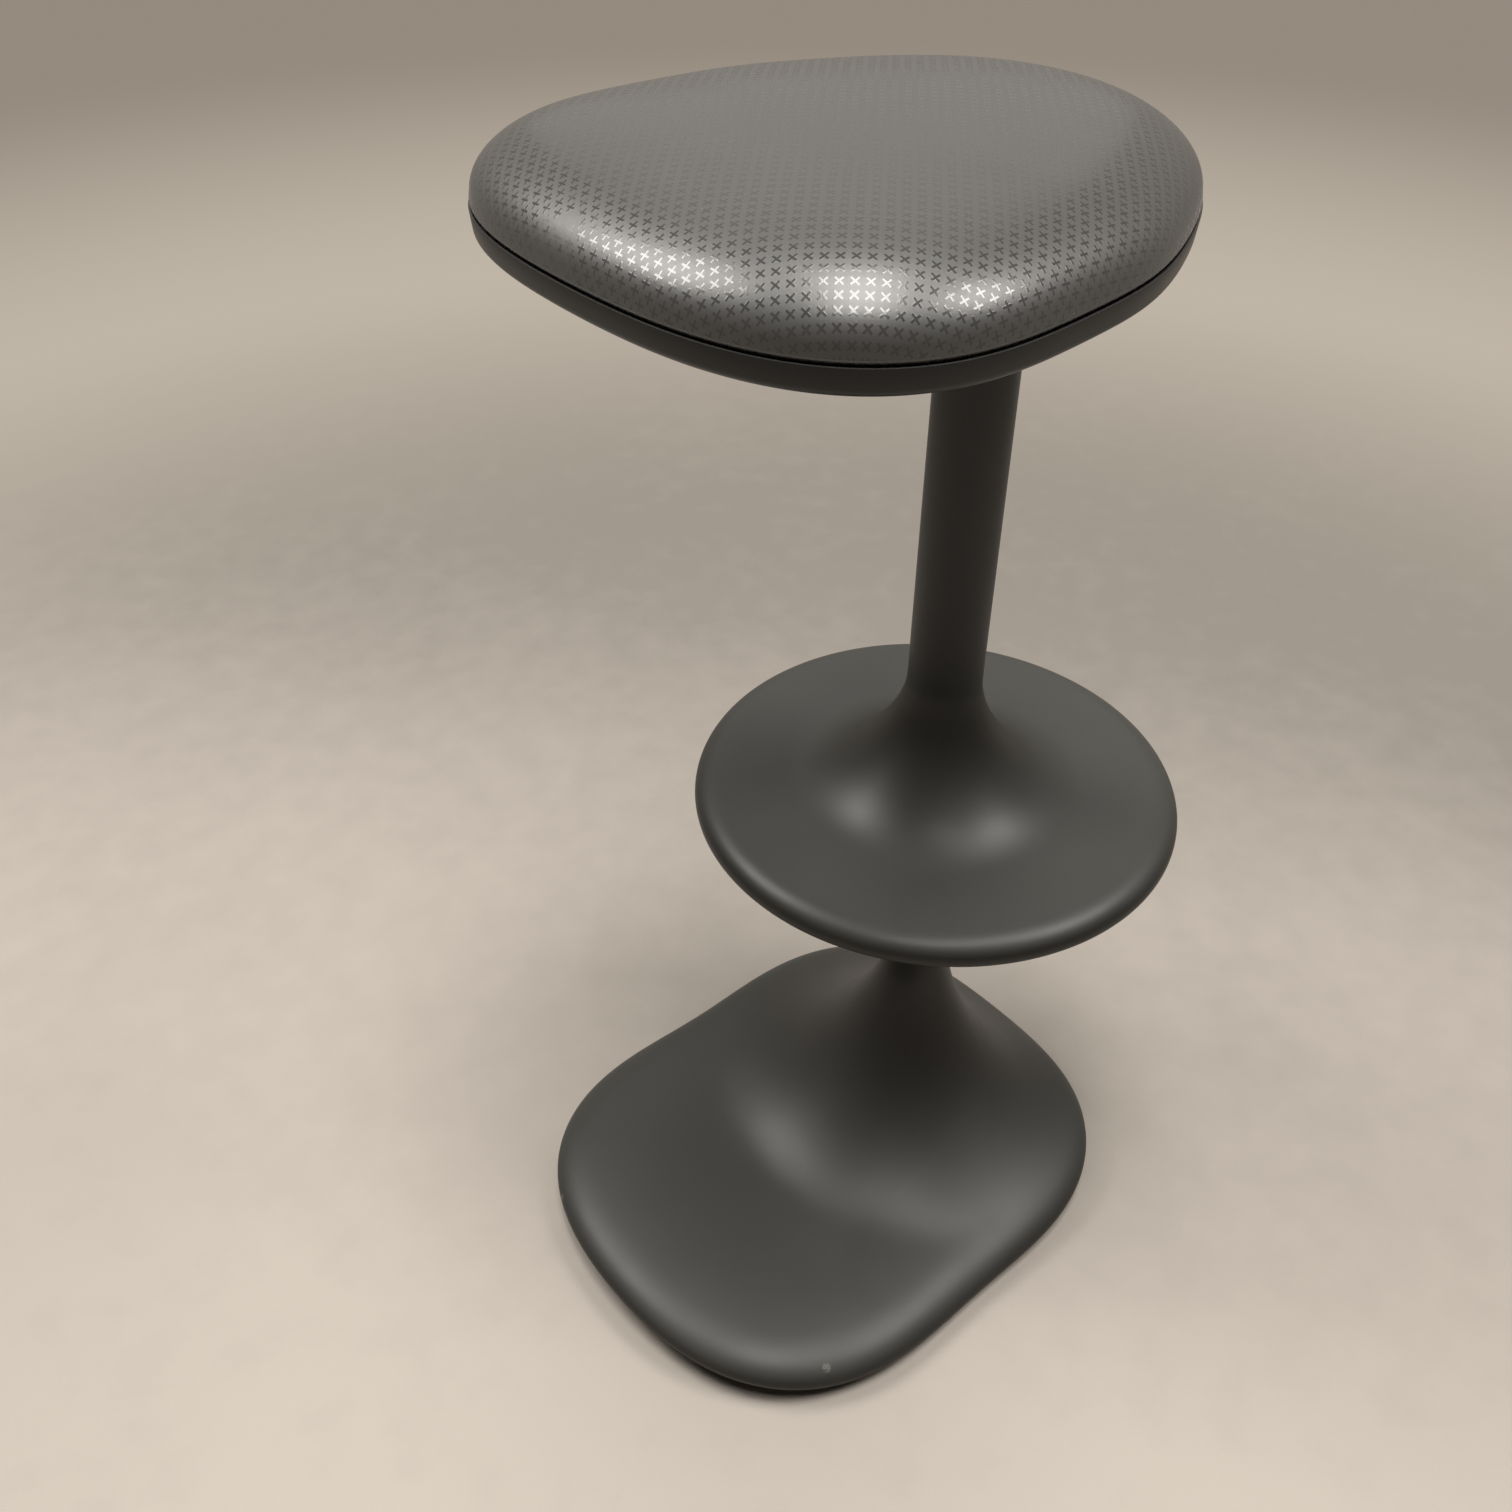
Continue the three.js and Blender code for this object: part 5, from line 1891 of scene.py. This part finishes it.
@dataclass(frozen=True)
class Studio:
    """A pale floor, soft lamps and the camera at the photograph's angle.

    Attributes:
        camera_place: Where the camera stands.
        heading: The way it looks, in degrees from +X towards +Y.
        dip: How far it looks down, in degrees.
        roll: How far it leans, in degrees.
        focal_share: Its focal length as a share of the picture's width.
        sensor: The width of its sensor in millimetres.
        clip: The nearest and the furthest that it sees.
        lamps: The lamps.
        floor_radius: The radius of the floor.
        floor_core: The radius of its innermost ring.
        floor_rings: The rings of its grid.
        floor_facets: The steps round it.
        floor_colour: Its colour where it is pale.
        painted_floor_shade_share: How bright the painted shade leaves it where it is darkest.
        mottle_pitch: The size of its fine mottling.
        cloud_pitch: The size of its wide mottling.
        grain_pitch: The size of its grain.
        grain_depth: The height of its grain.
        sweep_colour: The colour of the backdrop beside the floor.
        sky_colour: The colour of the backdrop further up.
        sky_strength: How strongly the sky lights the stool.
    """

    camera_place: Point = (-0.49740, -0.50254, 0.99865)
    heading: float = 49.614
    dip: float = 39.421
    roll: float = 0.23
    focal_share: float = 1456 / 1512
    sensor: float = 36.0
    clip: tuple[float, float] = (0.01, 60.0)
    lamps: tuple[Lamp, ...] = (
        Lamp("middle_light", 229.6, 84.0, 1.0, 1.9, 72.0),
        Lamp("left_light", 126.0, 50.0, 1.1, 1.2, 44.0),
        Lamp("right_light", 313.0, 55.0, 1.1, 1.0, 40.0),
        Lamp("far_light", 49.6, 38.0, 2.2, 2.2, 6.0),
    )
    floor_radius: float = 14.0
    floor_core: float = 0.3
    floor_rings: int = 24
    floor_facets: int = 96
    floor_colour: Colour = (0.50, 0.452, 0.402)
    painted_floor_shade_share: float = 0.52
    mottle_pitch: float = 0.04
    cloud_pitch: float = 0.3
    grain_pitch: float = 0.002
    grain_depth: float = 0.0002
    sweep_colour: Colour = (0.53, 0.468, 0.388)
    sky_colour: Colour = (0.30, 0.256, 0.212)
    sky_strength: float = 0.1

    def camera(self) -> None:
        """Makes the camera and turns it by heading, dip and roll."""
        forward = towards(self.heading, -self.dip)
        level = towards(self.heading - 90.0, 0.0)
        upright = level.cross(forward)
        roll = math.radians(self.roll)
        right = level * math.cos(roll) + upright * math.sin(roll)
        turn = Matrix((right, right.cross(forward), -forward)).transposed().to_4x4()
        lens = bpy.data.cameras.new("camera")
        lens.sensor_width = self.sensor
        lens.lens = self.sensor * self.focal_share
        lens.clip_start, lens.clip_end = self.clip
        camera = bpy.data.objects.new("camera", lens)
        camera.matrix_world = Matrix.Translation(self.camera_place) @ turn
        bpy.context.scene.collection.objects.link(camera)
        bpy.context.scene.camera = camera

    def floor(self) -> None:
        """Makes a round floor on a polar grid, with a faintly mottled pale finish and painted shade that
        darkens it towards +X and +Y.

        Far from the stool it glows in the backdrop's colours, which only the camera and mirror-like
        or clear surfaces see.
        """
        count = self.floor_facets
        radius = np.geomspace(self.floor_core, self.floor_radius, self.floor_rings)
        rings = raised(radius[:, None, None] * ray(around(count)), 0.0)
        total = self.floor_rings * count
        points = np.concatenate([rings.reshape(-1, 3), np.zeros((1, 3))])
        quads = bands(self.floor_rings - 1, count, total)[:, ::-1]
        j = np.arange(count)
        fan = np.stack([np.full(count, total), j, (j + 1) % count], axis=1)
        piece = make_object("floor", points, quads.tolist() + fan.tolist())
        paint = Paint("pale_paper")
        mottle = paint.noise(self.mottle_pitch, 6.0) * 0.6 + paint.noise(self.cloud_pitch, 3.0) * 0.4
        # Painted shade: the floor is painted darker towards +X and +Y, down to painted_floor_shade_share of
        # its colour.
        towards_painted_shade = paint.axis(paint.place, 0) * 0.84 + paint.axis(paint.place, 1) * 0.60
        shade = towards_painted_shade.step(-0.2, 0.9) + (mottle - 0.5) * 0.5
        dark = scaled_colour(self.floor_colour, self.painted_floor_shade_share)
        colour = paint.mix(shade, self.floor_colour, dark)
        paint.bump(paint.noise(self.grain_pitch, 4.0), self.grain_depth)
        away = paint.value("ShaderNodeVectorMath", {0: paint.place}, "Value", operation="LENGTH")
        backdrop = paint.mix(away.step(1.8, 3.6), self.sweep_colour, self.sky_colour)
        piece.data.materials.append(paint.dress(colour, 0.85))
        paint.glow(paint.seen() * away.step(0.9, 2.0), backdrop)

    def sky(self) -> None:
        """Sets a dim even sky, which the camera and all mirror-like surfaces see as a pale backdrop."""
        world = bpy.data.worlds.new("studio")
        world.use_nodes = True
        bpy.context.scene.world = world
        nodes = Nodes(world.node_tree)
        light, backdrop = (
            nodes.add("ShaderNodeBackground", {"Color": self.sky_colour, "Strength": strength})
            for strength in (self.sky_strength, 1.0)
        )
        nodes.add("ShaderNodeOutputWorld", {"Surface": nodes.blend(nodes.seen(), light, backdrop)})

    def build(self) -> None:
        """Makes camera, floor, sky and lamps."""
        self.camera()
        self.floor()
        self.sky()
        for lamp in self.lamps:
            lamp.make()
        bpy.context.scene.view_settings.view_transform = "Standard"


def main() -> None:
    """Builds the stool's looks in order."""
    logging.basicConfig(level=logging.INFO, format="%(name)s: %(message)s")
    Studio().build()
    finishes = Finishes()
    finishes.dress_cad(frame["record"])
    RubberMount(finishes).build()
    Base(finishes).build()
    Footrest(finishes).build()
    Seat(finishes).build()
    bpy.context.view_layer.update()


if __name__ == "__main__":
    main()
